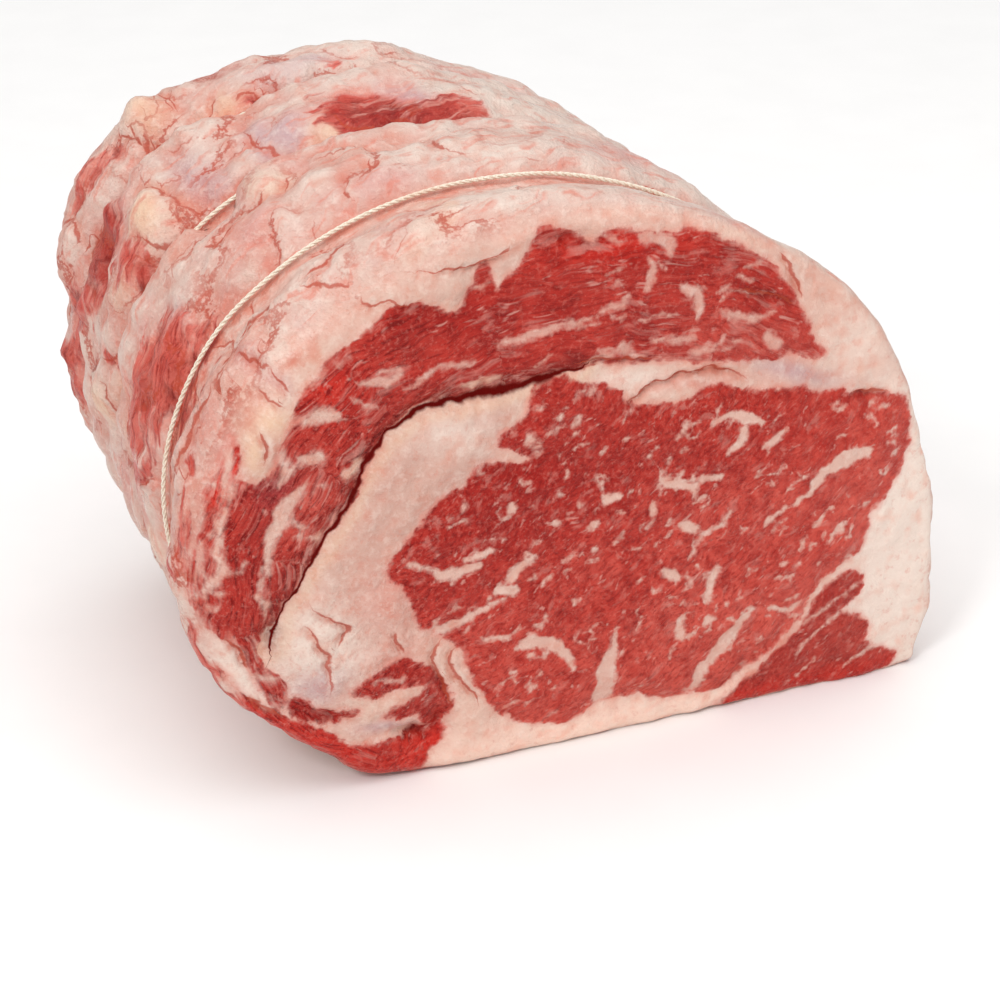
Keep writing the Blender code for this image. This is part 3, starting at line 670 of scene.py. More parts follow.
# lobes of fat with a clear edge: s, y, half length round, half length along, turn, height
LOBES = (
    (137, 9, 5.5, 9.5, 5, 1.5), (153, 43, 7, 7.5, 10, 1.6), (112, 43, 9, 6, -10, 1.2),
    (171, 32, 8, 5, 20, 1.0), (88, 12, 6, 8, 10, 1.2), (133, 46, 7, 4, 0, 1.0),
    (117, -57.5, 11, 4.0, 0, 0.7), (128, -57, 5, 5, 20, 0.7), (96, -57, 6, 4.5, -15, 0.8),
    (122, -45, 8, 7, 20, 0.7), (150, -44, 12, 8, -15, 0.8), (103, -52, 7, 6, 30, 0.8),
    (72, -12, 9, 6, 20, 1.1), (175, -18, 12, 9, 15, 0.9), (214, -22, 15, 9, -10, 0.8),
    (256, -18, 14, 8, 10, 0.8), (232, 12, 12, 8, -20, 0.9), (268, 14, 13, 8, 10, 1.0),
    (305, -22, 12, 8, 0, 1.0), (312, 16, 10, 8, 25, 1.0), (340, -48, 12, 6, 0, 0.8),
    (300, 42, 14, 7, 10, 1.0), (250, 44, 14, 8, -10, 1.0), (210, 46, 12, 7, 0, 1.0),
    (365, 6, 9, 8, 0, 1.0), (385, -30, 10, 8, 20, 0.9), (400, 30, 9, 9, 0, 0.8),
)
FLAP_COUNT = 34
# thin torn lines in the membrane, as (s, y) points
CRACKS = (
    ((132, -49.2), (137, -48.6), (142, -49.6), (146, -48.2)),
    ((150, -53), (152.5, -56.5), (156, -58.6), (159, -58.3)),
    ((131, -53), (131.8, -57), (133, -61)),
    ((144.2, -3), (144.5, 2), (143.2, 7), (144.6, 12)),
    ((167.5, 17), (166.5, 9), (169.5, 3), (170.5, -2)),
    ((148, 33.5), (146, 38), (147, 44)),
    ((149.5, 35.5), (154, 34.3), (158.5, 36)),
    ((217, 31.5), (223, 31.0), (230, 31.8)),
    ((245, -33.6), (252, -33.4)),
    ((92, 32.8), (102, 33.2), (112, 31.8), (121, 33.0), (130, 31.2)),
    ((140, -16.5), (146, -17.5), (150, -15.2)),
    ((152, -15.3), (156, -16.8), (159, -14.5)),
    ((88, -32.5), (86.5, -29.5), (84, -27)),
    ((100, 10), (101.5, 5), (104, 1.5)),
    ((183, -20), (181, -23.5), (184, -26)),
    ((176, -25), (173, -29), (172, -33)),
    ((160, -48.8), (164, -49.2)),
    ((98, -54), (106, -53), (115, -52.4), (124, -54)), ((106, -60.5), (114, -61), (122, -61.5)),
    ((186, 8), (188, 3.5), (194, 0.5), (199, -0.4)),
    ((172, 33.8), (176, 35.2), (181, 32)),
    ((308, -10), (314, -14), (322, -13)),
    ((335, 20), (341, 16), (343, 10)),
    ((286, 2), (292, 6), (300, 5)),
)
PINCH_FRONT_WIDTH = (9.0, 2.0, 2.0)
PINCH_BACK_WIDTH = (3.6, 4.6, 4.6)
LIP_LEAN = (2.4, 4.6, 5.4)
LIP_RISE = (0.9, 1.9, 2.4)
SHEET_STEP = 6.0


def scattered_flaps():
    """Small random lobes on the left side, each with the number of its tint."""
    rng = np.random.default_rng(12)
    low = (50, -60, 4.0, 2.5, -40, 0.3)
    high = (195, 52, 10.0, 5.5, 40, 0.8)
    return [(*rng.uniform(low, high), int(rng.integers(3))) for _ in range(FLAP_COUNT)]


def wrapped(sheet):
    """Signed distance to the nearest edge of the sheets of membrane, which lie at equal steps."""
    return (sheet + SHEET_STEP / 2) % SHEET_STEP - SHEET_STEP / 2


def stronger(crack, crack_on, other, other_on):
    """Of two torn edges, the distance to and the strength of the one that counts more at each place."""
    better = other_on * np.exp(-(other / 3) ** 2) > crack_on * np.exp(-(crack / 3) ** 2)
    return np.where(better, other, crack), np.where(better, other_on, crack_on)


def wander(s, loop):
    """How far a twine loop strays along the log from its place."""
    size = (0.4, 1.0, 0.9)[loop]
    return size * (0.8 * np.sin(s * 12 * math.pi / AROUND_LENGTH + loop * 1.9)
                   + 0.4 * np.sin(s * 34 * math.pi / AROUND_LENGTH + loop * 4.1))


def beyond(y, s, loop):
    """Signed distance along the log past a loop's pinch."""
    return y - LOOP_Y[loop] - wander(s, loop)


def pinched(y, s):
    """How deep the loops draw the surface in, the lean of the lips over them, and the nearness."""
    depth = np.zeros(len(y))
    lean = np.zeros(len(y))
    near = np.zeros(len(y))
    covered = (
        smooth(s, 226, 244) * smooth(-s, -330, -290),
        (1 - np.exp(-((s - 148.5) / 5.5) ** 4)) * smooth(-s, -345, -300) * smooth(s, 20, 60),
        smooth(-s, -345, -300) * smooth(s, 20, 60),
    )
    for loop in range(3):
        d = beyond(y, s, loop)
        hidden = covered[loop]
        front_width = PINCH_FRONT_WIDTH[loop] * hidden + max(4.2, PINCH_FRONT_WIDTH[loop]) * (1 - hidden)
        front_width = np.where(hidden > 0, np.minimum(front_width, 9.0), front_width)
        width = np.where(d < 0, front_width, PINCH_BACK_WIDTH[loop])
        close = np.exp(-(d / width) ** 2)
        depth += PINCH_DEPTH * close
        near = np.maximum(near, close)
        lean += hidden * LIP_LEAN[loop] * np.exp(-((d + 2.6) / 2.3) ** 2) * smooth(-d, 0.0, 1.6)
        depth -= hidden * LIP_RISE[loop] * np.exp(-((d + 4.6) / 3.5) ** 2)
    return depth, lean, near


def outside(s, y, solid, rings):
    """Fields of the outside: muscle or fat, colours, and how far each place stands out."""
    n = len(s)
    warp = np.stack([rough(solid, 8, 41), rough(solid, 8, 43)], axis=1)
    fine = np.stack([noise(solid, 2.6, 45), noise(solid, 2.6, 47)], axis=1)
    p = np.stack([s, y], axis=1) + warp * 2.2 + fine * 0.8
    turn = math.radians(12)
    turned = p @ np.array([[math.cos(turn), -math.sin(turn)], [math.sin(turn), math.cos(turn)]])
    turned += 2.5 * np.stack([noise(solid, 18, 48), noise(solid, 18, 50)], axis=1)

    red = np.full(n, -4.0)
    for a, b, ra, rb, lie, depth in RED_PATCHES:
        red = np.maximum(red, (depth + 4.0) * spot(p, a, b, ra, rb, lie) ** 0.6 - 4.0)
    left = smooth(s, 25, 50) * smooth(-s, -185, -150)
    red += 1.2 * rough(solid, 6, 49) + left * 2.4 * rough(np.stack([p[:, 0] / 11, p[:, 1] / 3.0, y * 0], 1), 1.0, 99, 2)

    pinch_depth, lean, near = pinched(y, s)
    calm = smooth(s, 190, 235) * smooth(-s, -345, -300)
    height = -1.2 + 2.2 * rough(solid, 34, 51) + (1.9 - 1.1 * calm) * rough(solid, 15, 53)
    roll = np.ones(n)
    for loop in range(3):
        roll *= 1 - np.exp(-(beyond(y, s, loop) / 9.0) ** 2)
    height += 2.6 * roll - 1.4
    first, second = cells(solid, (14, 11, 14), 5)
    lumpy = np.clip(0.4 + rough(solid, 26, 54), 0.05, 1.0) * (1 - 0.75 * calm)
    height += lumpy * (1.3 * np.exp(-(first / 0.6) ** 2) - 0.5 - 0.9 * np.exp(-((second - first) / 0.14) ** 2))
    first, second = cells(solid, (6.5, 5, 6.5), 8)
    height += 0.45 * lumpy * (np.exp(-(first / 0.6) ** 2) - 0.5)
    for a, b, ra, rb, lie, rise in LUMPS:
        height += rise * spot(p, a, b, ra, rb, lie)

    # torn edges: negative on the low side of each
    ragged_edge = 1.8 * rough(solid, 9, 97)
    crack, crack_on = torn_lines(p, CRACKS)
    crack_on *= smooth(-np.abs(crack), -2.4, -1.0)
    flaps = np.zeros((3, n))
    broken = smooth(noise(solid, 8, 98), -0.25, 0.35)
    for a, b, ra, rb, lie, rise, tint in [(*lobe, None) for lobe in LOBES] + scattered_flaps():
        away = np.sqrt(-np.log(np.maximum(spot(p, a, b, ra, rb, lie), 1e-30)))
        edge = (1 - away) * min(ra, rb) + ragged_edge
        height += rise * smooth(edge, -0.4, 0.4 + 0.6 * min(ra, rb)) * (1 - 0.5 * calm)
        torn = broken * (0.85 - 0.5 * calm if tint is None else 0.45)
        crack, crack_on = stronger(crack, crack_on, edge, torn * smooth(-np.abs(edge), -2.4, -1.0))
        if tint is not None:
            flaps[tint] = np.maximum(flaps[tint], smooth(edge, -0.5, 1.2))
    drift = 4 * np.stack([noise(solid, 9, 91), noise(solid, 9, 92), noise(solid, 9, 93)], axis=1)
    sheet = 8.0 * rough(solid + drift, (26, 15, 26), 58, 2)
    sheet_on = smooth(noise(solid, 16, 94), -0.35, 0.35) * (1 - 0.7 * calm)
    sheet_edge = wrapped(sheet)
    height += 0.45 * (1 - 0.5 * calm) * noise(solid, 3.4, 55)
    height += 0.5 * smooth(red, -0.5, 1.0) * noise(np.stack([turned[:, 0] / 9, turned[:, 1] / 2.2, y * 0], 1), 1.0, 57)
    pleats = noise(np.stack([s / 6.5, y / 22, y * 0], 1), 1.0, 9)
    pleats += 0.5 * noise(np.stack([s / 3.2, y / 12, y * 0], 1), 1.0, 13)
    ring = np.zeros(n)
    for loop in range(3):
        ring = np.maximum(ring, np.exp(-np.abs(beyond(y, s, loop)) / 7.0))
    height += 1.3 * ring * (1 - near ** 4) * pleats
    height *= 1 - 0.9 * near ** 2
    on_face_side = smooth(-y, 46, 60)
    height *= 1 - 0.35 * on_face_side
    # how far each place lies below its blurred neighbours; the colours below put painted shade in these hollows
    hollow = even_out(height, rings, 14) - height

    tone = rough(solid, 15, 61)
    tone_fine = rough(solid, 4, 63)
    left_side = smooth(s, 55, 85) * smooth(-s, -190, -140)
    blush = np.clip(0.15 + 1.2 * rough(solid, (9, 6, 9), 68), 0, 0.9) * (0.2 + 0.8 * left_side)
    # random tone, made less pale and pinker in the hollows as painted shade
    colour = blend(SIDE_FAT, SIDE_PALE, np.clip(0.35 + 0.7 * tone + 0.35 * tone_fine - 0.35 * hollow, 0, 1))
    colour = blend(colour, SIDE_PINK, np.clip(0.08 - 0.7 * tone + 0.4 * tone_fine + 0.5 * hollow, 0, 0.8))
    top = smooth(s, 160, 225) * smooth(-s, -345, -300)
    colour = blend(colour, TOP_PALE, top * np.clip(0.8 + 0.3 * tone, 0, 0.95) * smooth(y, -66, -52))
    colour = blend(colour, SIDE_PALE, 0.6 * top * smooth(y, 30, 42))
    colour = blend(colour, BLUSH, 0.7 * blush * (1 - 0.5 * on_face_side))
    for a, b, ra, rb, lie in PINK_PATCHES:
        colour = blend(colour, SIDE_PINK, 0.75 * spot(p, a, b, ra, rb, lie))
    for tint, share in zip((SIDE_PALE, FAT_YELLOW, SIDE_PINK), flaps):
        colour = blend(colour, tint, 0.42 * share)
    for a, b, ra, rb, lie in YELLOW_PATCHES:
        colour = blend(colour, FAT_YELLOW, 0.9 * spot(p, a, b, ra, rb, lie))
    for a, b, ra, rb, lie in LILAC_PATCHES:
        colour = blend(colour, LILAC, 0.85 * spot(p, a, b, ra, rb, lie))
    # painted light on the lip in front of each loop and painted shade in the crease behind it
    for loop in range(3):
        d = beyond(y, s, loop)
        colour = blend(colour, SIDE_PALE, 0.6 * np.exp(-((d + 3.2) / 2.6) ** 2))
        colour = blend(colour, CREASE_SHADE, np.clip((0.5 + 0.5 * tone_fine) * np.exp(-((d - 2.0) / 2.0) ** 2), 0, 1))
    # painted shade in the hollows and in the grooves that the twine draws in
    colour = blend(colour, CREASE_SHADE, np.clip(0.6 * smooth(hollow, 0.25, 1.2) * (0.7 + tone_fine) * (1 - 0.5 * calm), 0, 1))
    colour = blend(colour, CREASE_SHADE, 0.75 * near ** 3 * np.clip(0.8 + tone_fine, 0, 1))
    colour = blend(colour, MEAT_LIGHT, 0.5 * smooth(red, -1.8, 0.3))

    meat = blend(srgb(212, 112, 98), MEAT, np.clip(0.25 + 0.9 * rough(solid, 5, 66), 0, 1))
    meat = blend(meat, MEAT_BRIGHT, 0.35 * np.clip(0.3 + rough(solid, 8, 65), 0, 1))
    meat = blend(meat, MEAT_DEEP, np.clip(0.1 + 0.5 * rough(solid, 7, 67), 0, 0.7) * smooth(red, 0, 2.5))
    meat = blend(meat, MEAT_DEEP, np.clip(0.9 * spot(p, 200, 5, 15, 9) + 0.5 * spot(p, 122, 22, 14, 5), 0, 1))
    # painted shade on the muscle in hollows and in the twine's grooves
    meat = blend(meat, MEAT_SHADE, np.clip(0.6 * smooth(hollow, 0.15, 1.0) + 0.4 * near ** 4, 0, 1))

    step_up = 0.8 * np.tanh(crack / 0.9) * np.exp(-(crack / 4) ** 2) - 0.6 * np.exp(-(crack / 0.9) ** 2)
    height += crack_on * step_up * (1 - 0.9 * near ** 2)
    step_up = 0.9 * np.tanh(sheet_edge / 0.9) * np.exp(-(sheet_edge / 2.2) ** 2)
    height += sheet_on * (step_up - 0.6 * np.exp(-(sheet_edge / 0.9) ** 2)) * (1 - 0.9 * near ** 2)
    # painted shade on the low side of each torn edge and each sheet's edge, and paler fat on the high side
    colour = blend(colour, CREASE_SHADE, 0.6 * crack_on * np.exp(-((crack + 0.9) / 1.6) ** 2))
    colour = blend(colour, SIDE_PALE, 0.45 * crack_on * np.exp(-((crack - 1.1) / 1.0) ** 2))
    colour = blend(colour, CREASE_SHADE, 0.36 * sheet_on * np.exp(-((sheet_edge + 1.0) / 1.6) ** 2))
    colour = blend(colour, SIDE_PALE, 0.5 * sheet_on * np.exp(-((sheet_edge - 1.2) / 1.2) ** 2))

    crisp = 0.45 + 0.55 * left + 0.3 * on_face_side
    flow = np.stack([turned[:, 0] / 4.0, turned[:, 1], y * 0 + 40.0], axis=1)
    flow[:, :2] += 1.2 * np.stack([noise(solid, 6, 72), noise(solid, 6, 74)], axis=1)
    return {
        "fat": -red, "meat_tint": meat, "fat_tint": colour, "side_flow": flow,
        "grain": smooth(red, -1.0, 1.0) * 0.9, "fray": 3.2 + 0 * y, "height": height - pinch_depth, "lean": lean,
        "tears": np.stack([crack, crack_on, sheet, sheet_on], axis=1), "clouds": clouds(solid),
        "clefts": np.stack([y * 0 + 9, y * 0, crisp], axis=1),
    }


def even_out(values, rings, passes):
    """The same values on the rings of the outside, blurred over their neighbours."""
    v = values.reshape(rings, AROUND)
    for _ in range(passes):
        v = (np.roll(v, 1, axis=1) + 2 * v + np.roll(v, -1, axis=1)) / 4
        v = (np.vstack([v[:1], v[:-1]]) + 2 * v + np.vstack([v[1:], v[-1:]])) / 4
    return v.ravel()


# ================================================================ the mesh of the meat
def outline_normals(ring, even_out=0.0):
    """Outward directions round a ring, evened out over a length so that offsets do not cross."""
    ahead = np.roll(ring, -1, axis=0) - np.roll(ring, 1, axis=0)
    ahead /= np.linalg.norm(ahead, axis=1)[:, None]
    normal = np.stack([-ahead[:, 1], ahead[:, 0]], axis=1)
    if even_out:
        spread = even_out / AROUND_LENGTH
        damping = np.exp(-2 * (math.pi * spread * np.arange(len(ring) // 2 + 1)) ** 2)
        normal = np.fft.irfft(np.fft.rfft(normal, axis=0) * damping[:, None], n=len(ring), axis=0)
        normal /= np.linalg.norm(normal, axis=1)[:, None]
    return normal


def face_shoulder(normal):
    """Radius of the cut face's edge: broad on the fat at the upper left, tight elsewhere."""
    facing = normal[:, 0] * math.cos(SHOULDER_DIRECTION) + normal[:, 1] * math.sin(SHOULDER_DIRECTION)
    return FACE_SHOULDER_MIN + (FACE_SHOULDER_MAX - FACE_SHOULDER_MIN) * np.maximum(0, facing) ** 1.5


def side_grid():
    """Places of the outside's vertices, ring by ring from the cut face to the back."""
    front = even_ring(FRONT_OUTLINE, AROUND)
    back = even_ring(BACK_OUTLINE, AROUND)
    radius = face_shoulder(outline_normals(front))
    start = FACE_Y + radius
    end = BACK_Y - BACK_SHOULDER
    fine = np.linspace(FACE_Y + FACE_SHOULDER_MIN, end, 2000)
    wanted = 0.55 + sum(np.exp(-((fine - at + 1.0) / 5.0) ** 4) for at in LOOP_Y)
    share = np.r_[0.0, np.cumsum((wanted[1:] + wanted[:-1]) / 2)]
    levels = np.interp(np.linspace(0, share[-1], BODY_RINGS + 1), share, fine)
    rows = []
    for k in range(SHOULDER_RINGS):
        a = math.radians(90) * k / SHOULDER_RINGS
        rows.append((FACE_Y + radius * (1 - math.cos(a)), radius * (1 - math.sin(a)), np.full(AROUND, a)))
    for k in range(BODY_RINGS + 1):
        shift = (start - fine[0]) * (1 - smooth(levels[k], fine[0], fine[0] + 24))
        rows.append((levels[k] + shift, np.zeros(AROUND), np.full(AROUND, math.radians(90))))
    for k in range(1, SHOULDER_RINGS + 1):
        a = math.radians(90) * (1 + k / SHOULDER_RINGS)
        y = BACK_Y - BACK_SHOULDER * (1 + math.cos(a))
        rows.append((np.full(AROUND, y), np.full(AROUND, BACK_SHOULDER * (1 - math.sin(a))), np.full(AROUND, a)))
    y = np.concatenate([r[0] for r in rows])
    inset = np.concatenate([r[1] for r in rows])
    angle = np.concatenate([r[2] for r in rows])
    t = ((y - FACE_Y) / (BACK_Y - FACE_Y))[:, None]
    count = len(rows)
    xz = np.tile(front, (count, 1)) * (1 - t) + np.tile(back, (count, 1)) * t
    front_normal = outline_normals(front, FRONT_NORMAL_EVENING)
    back_normal = outline_normals(back, BACK_NORMAL_EVENING)
    normal = np.tile(front_normal, (count, 1)) * (1 - t) + np.tile(back_normal, (count, 1)) * t
    s = np.tile(np.arange(AROUND) * AROUND_LENGTH / AROUND, count)
    return xz, normal, y, inset, angle, s, count


def grid_inside(edge, spacing):
    """A honeycomb of points inside a ring, and the triangles that join them to it."""
    low, high = edge.min(0), edge.max(0)
    rows = np.arange(low[1], high[1], spacing * 0.866)
    points = np.vstack([
        np.stack([np.arange(low[0] + (k % 2) * spacing / 2, high[0], spacing), np.full(
            len(np.arange(low[0] + (k % 2) * spacing / 2, high[0], spacing)), row)], axis=1)
        for k, row in enumerate(rows)
    ])
    ring = np.vstack([edge, edge[:1]])
    d = to_segments(points, ring)[0]
    within = np.zeros(len(points), bool)
    for a, b in zip(ring[:-1], ring[1:]):
        spans = (a[1] > points[:, 1]) != (b[1] > points[:, 1])
        cross = a[0] + (points[:, 1] - a[1]) * (b[0] - a[0]) / ((b[1] - a[1]) or 1e-9)
        within ^= spans & (points[:, 0] < cross)
    points = points[within & (d > spacing * 0.55)]
    count = len(edge)
    everything = [Vector(v) for v in np.vstack([edge, points]).tolist()]
    edges = [(k, (k + 1) % count) for k in range(count)]
    _, _, triangles, origin, _, _ = delaunay_2d_cdt(everything, edges, [], 1, 1e-6)
    index = [o[0] for o in origin]
    return points, [[index[v] for v in t] for t in triangles]


def make_meat():
    """One closed mesh of the meat with all its fields."""
    xz, normal, y, inset, angle, s, rings = side_grid()
    ripple_at = np.stack([xz[:, 0], y * 0.5, xz[:, 1]], axis=1)
    ripple = 0.6 * rough(ripple_at, 14, 71)
    base = xz - normal * (inset - ripple)[:, None]
    solid = np.stack([base[:, 0], y, base[:, 1]], axis=1)
    out = outside(s, y, solid, rings)
    front = cut_face(base[:, 0], base[:, 1], y, 0)
    side_share = np.sin(angle) ** 2
    floor_share = smooth(base[:, 1], 0.5, 7.0)
    stand = out["height"] * (0.35 + 0.65 * floor_share) * side_share
    lean = out["lean"]
    face_share = np.where(angle < math.radians(90), np.cos(angle) ** 2, 0.0)
    across = np.sin(angle)
    place = np.stack([
        base[:, 0] + normal[:, 0] * stand * across,
        y + np.sign(angle - math.radians(90)) * np.abs(np.cos(angle)) * stand + lean * floor_share
        - front["relief"] * face_share,
        base[:, 1] + normal[:, 1] * stand * across,
    ], axis=1)

    blend_in = smooth(np.cos(angle) * (angle < math.radians(90)), 0.45, 0.95)
    fields = {}
    for key in ("fat", "meat_tint", "fat_tint", "grain", "fray", "tears", "clefts", "clouds"):
        w = blend_in if out[key].ndim == 1 else blend_in[:, None]
        fields[key] = out[key] * (1 - w) + front[key] * w
    for key in ("eye_flow", "cap_flow", "in_cap"):
        fields[key] = front[key]

    # the two cut faces
    def cap_of(edge_rows, spacing, seed, sign):
        edge = base[edge_rows]
        points, triangles = grid_inside(edge, spacing)
        side_y = FACE_Y if sign < 0 else BACK_Y
        level = np.full(len(points), side_y)
        if seed:
            made = cut_face(points[:, 0] * 1.06 + 1, points[:, 1] * 0.985, level, seed)
            made["relief"] = made["relief"] + 2.4 * (1 - ((points[:, 0] + 2) / 88) ** 2 - ((points[:, 1] - 66) / 72) ** 2)
        else:
            made = cut_face(points[:, 0], points[:, 1], level, seed)
        spots = np.stack([points[:, 0], level + sign * made["relief"], points[:, 1]], axis=1)
        return points, triangles, made, spots

    first = np.arange(AROUND)
    last = first + (rings - 1) * AROUND
    f_pts, f_tri, f_fields, f_place = cap_of(first, FRONT_GRID, 0, -1)
    b_pts, b_tri, b_fields, b_place = cap_of(last, BACK_GRID, 3, 1)
    edge_back = cut_face(base[last, 0] * 1.06 + 1, base[last, 1] * 0.985, y[last], 3)
    place[last, 1] += edge_back["relief"]
    for key in fields:
        rows = fields[key]
        rows[last] = edge_back[key]
        fields[key] = np.concatenate([rows, f_fields[key], b_fields[key]])
    place = np.vstack([place, f_place, b_place])
    place[:, 2] = np.maximum(place[:, 2], 0.0)

    faces = []
    for r in range(rings - 1):
        for i in range(AROUND):
            j = (i + 1) % AROUND
            faces.append((r * AROUND + i, r * AROUND + j, (r + 1) * AROUND + j, (r + 1) * AROUND + i))
    side_faces = len(faces)
    offset = rings * AROUND
    to_front = lambda v: v if v < AROUND else v - AROUND + offset
    to_back = lambda v: v + last[0] if v < AROUND else v - AROUND + offset + len(f_pts)
    faces += [tuple(to_front(v) for v in t) for t in f_tri]
    back_start = len(faces)
    faces += [tuple(to_back(v) for v in t)[::-1] for t in b_tri]

    mesh = bpy.data.meshes.new("roast_meat")
    mesh.from_pydata((place * MM).tolist(), [], faces)
    made = bpy.data.objects.new("roast_meat", mesh)
    bpy.context.scene.collection.objects.link(made)
    point_outwards(mesh)
    mesh.shade_smooth()

    store(mesh, "fat_edge", fields["fat"])
    store(mesh, "grain", fields["grain"])
    store(mesh, "fray", fields["fray"])
    tears = fields["tears"]
    store(mesh, "cracks", np.stack([tears[:, 0], tears[:, 1], 0 * tears[:, 0]], axis=1))
    store(mesh, "sheets", np.stack([tears[:, 2], tears[:, 3], 0 * tears[:, 0]], axis=1))
    side_flow = np.zeros((len(place), 3))
    side_flow[:len(y)] = out["side_flow"]
    store_flow(mesh, fields, side_flow, side_faces, FRONT_FLOW_RINGS * AROUND)
    store(mesh, "clouds", fields["clouds"])
    store(mesh, "clefts", fields["clefts"])
    store(mesh, "meat_tint", fields["meat_tint"])
    store(mesh, "fat_tint", fields["fat_tint"])
    bake_map(mesh, place, s, rings, offset, offset + len(f_pts), side_faces, back_start)
    return made


def point_outwards(mesh):
    """Turn all faces over if the closed mesh is inside out."""
    mesh.calc_loop_triangles()
    count = len(mesh.loop_triangles)
    corners = np.empty(count * 3, np.int32)
    mesh.loop_triangles.foreach_get("vertices", corners)
    co = np.empty(len(mesh.vertices) * 3, np.float32)
    mesh.vertices.foreach_get("co", co)
    a, b, c = co.reshape(-1, 3)[corners.reshape(-1, 3)].transpose(1, 0, 2)
    if np.einsum("ij,ij->", a, np.cross(b, c)) < 0:
        mesh.flip_normals()


def store(mesh, name, values):
    """Keep a value, a direction or a colour for each vertex under a name."""
    if values.ndim == 1:
        layer = mesh.attributes.new(name, "FLOAT", "POINT")
        layer.data.foreach_set("value", values.astype(np.float32))
    elif name.endswith("tint"):
        layer = mesh.attributes.new(name, "FLOAT_COLOR", "POINT")
        rgba = np.concatenate([values, np.ones((len(values), 1))], axis=1)
        layer.data.foreach_set("color", rgba.astype(np.float32).ravel())
    else:
        layer = mesh.attributes.new(name, "FLOAT_VECTOR", "POINT")
        layer.data.foreach_set("vector", values.astype(np.float32).ravel())


def store_flow(mesh, fields, side_flow, side_faces, front_faces):
    """The fibres' directions, which jump from muscle to muscle, so they are kept on face corners."""
    corners = np.empty(len(mesh.loops), np.int32)
    mesh.loops.foreach_get("vertex_index", corners)
    totals = np.empty(len(mesh.polygons), np.int32)
    mesh.polygons.foreach_get("loop_total", totals)
    face_of = np.repeat(np.arange(len(totals)), totals)
    cap_sum = np.bincount(face_of, weights=fields["in_cap"][corners])
    in_cap = (cap_sum > 0)[face_of][:, None]
    on_side = ((face_of >= front_faces) & (face_of < side_faces))[:, None]
    flow = np.where(in_cap, fields["cap_flow"][corners], fields["eye_flow"][corners])
    flow = np.where(on_side, side_flow[corners], flow)
    layer = mesh.attributes.new("flow", "FLOAT_VECTOR", "CORNER")
    layer.data.foreach_set("vector", flow.astype(np.float32).ravel())


def bake_map(mesh, place, s, rings, front_start, back_start, side_faces, back_face):
    """A flat map for baked textures: the cut face large, the back small, the outside unrolled."""
    n = len(place)
    uv = np.zeros((n, 2))
    x, z = place[:, 0], place[:, 2]
    front = slice(front_start, back_start)
    uv_front = np.stack([0.005 + (x + 95) / 190 * 0.765, 0.425 + z / 140 * 0.57], 1)
    uv_back = np.stack([0.78 + z / 140 * 0.215, 0.425 + (x + 95) / 190 * 0.30], 1)
    row = np.repeat(np.arange(rings), AROUND)
    uv_side = np.stack([0.005 + s / AROUND_LENGTH * 0.985, 0.005 + row / (rings - 1) * 0.41], 1)
    corners = np.empty(len(mesh.loops), np.int32)
    mesh.loops.foreach_get("vertex_index", corners)
    starts = np.empty(len(mesh.polygons), np.int32)
    totals = np.empty(len(mesh.polygons), np.int32)
    mesh.polygons.foreach_get("loop_start", starts)
    mesh.polygons.foreach_get("loop_total", totals)
    face_of = np.repeat(np.arange(len(starts)), totals)
    on_side = face_of < side_faces
    on_back = face_of >= back_face
    full_side = np.zeros((n, 2))
    full_side[:rings * AROUND] = uv_side
    result = np.where(on_side[:, None], full_side[corners], np.where(on_back[:, None], uv_back[corners], uv_front[corners]))
    wraps = on_side & (face_of % AROUND == AROUND - 1) & (s_at(s, corners, n) < 1.0)
    result[wraps, 0] = 0.005 + 0.985
    layer = mesh.uv_layers.new(name="OFBake")
    layer.data.foreach_set("uv", result.astype(np.float32).ravel())


def s_at(s, corners, n):
    padded = np.full(n, 1e9)
    padded[:len(s)] = s
    return padded[corners]


# ================================================================ materials
class Net:
    """A material's nodes. An input is given as a socket, which is linked, or as a constant."""

    def __init__(self, name):
        self.material = bpy.data.materials.new(name)
        self.material.use_nodes = True
        self.tree = self.material.node_tree
        self.tree.nodes.clear()

    def add(self, kind, inputs=None, **settings):
        node = self.tree.nodes.new("ShaderNode" + kind)
        for key, value in settings.items():
            setattr(node, key, value)
        for key, value in (inputs or {}).items():
            if isinstance(value, bpy.types.NodeSocket):
                self.tree.links.new(value, node.inputs[key])
            else:
                node.inputs[key].default_value = value
        return node

    def math(self, operation, a, b=0.0, clamp=False):
        return self.add("Math", {0: a, 1: b}, operation=operation, use_clamp=clamp).outputs[0]

    def step(self, value, low, high, bottom=0.0, top=1.0):
        inputs = {"Value": value, "From Min": low, "From Max": high, "To Min": bottom, "To Max": top}
        return self.add("MapRange", inputs, interpolation_type="SMOOTHSTEP").outputs[0]

    def noise(self, place, scale, detail=2.0, roughness=0.5, distortion=0.0):
        inputs = {"Vector": place, "Scale": scale, "Detail": detail, "Roughness": roughness, "Distortion": distortion}
        return self.add("TexNoise", inputs).outputs["Fac"]

    def mix(self, share, a, b, kind="MIX"):
        node = self.add("Mix", data_type="RGBA", blend_type=kind)
        for key, value in ((0, share), (6, a), (7, b)):
            if isinstance(value, bpy.types.NodeSocket):
                self.tree.links.new(value, node.inputs[key])
            else:
                node.inputs[key].default_value = value
        return node.outputs[2]

    def attribute(self, name, output="Fac"):
        return self.add("Attribute", attribute_name=name).outputs[output]

    def output(self, shader):
        self.tree.links.new(shader.outputs[0], self.add("OutputMaterial").inputs[0])
        return self.material


def rgba(colour):
    return (*[float(c) for c in colour], 1.0)


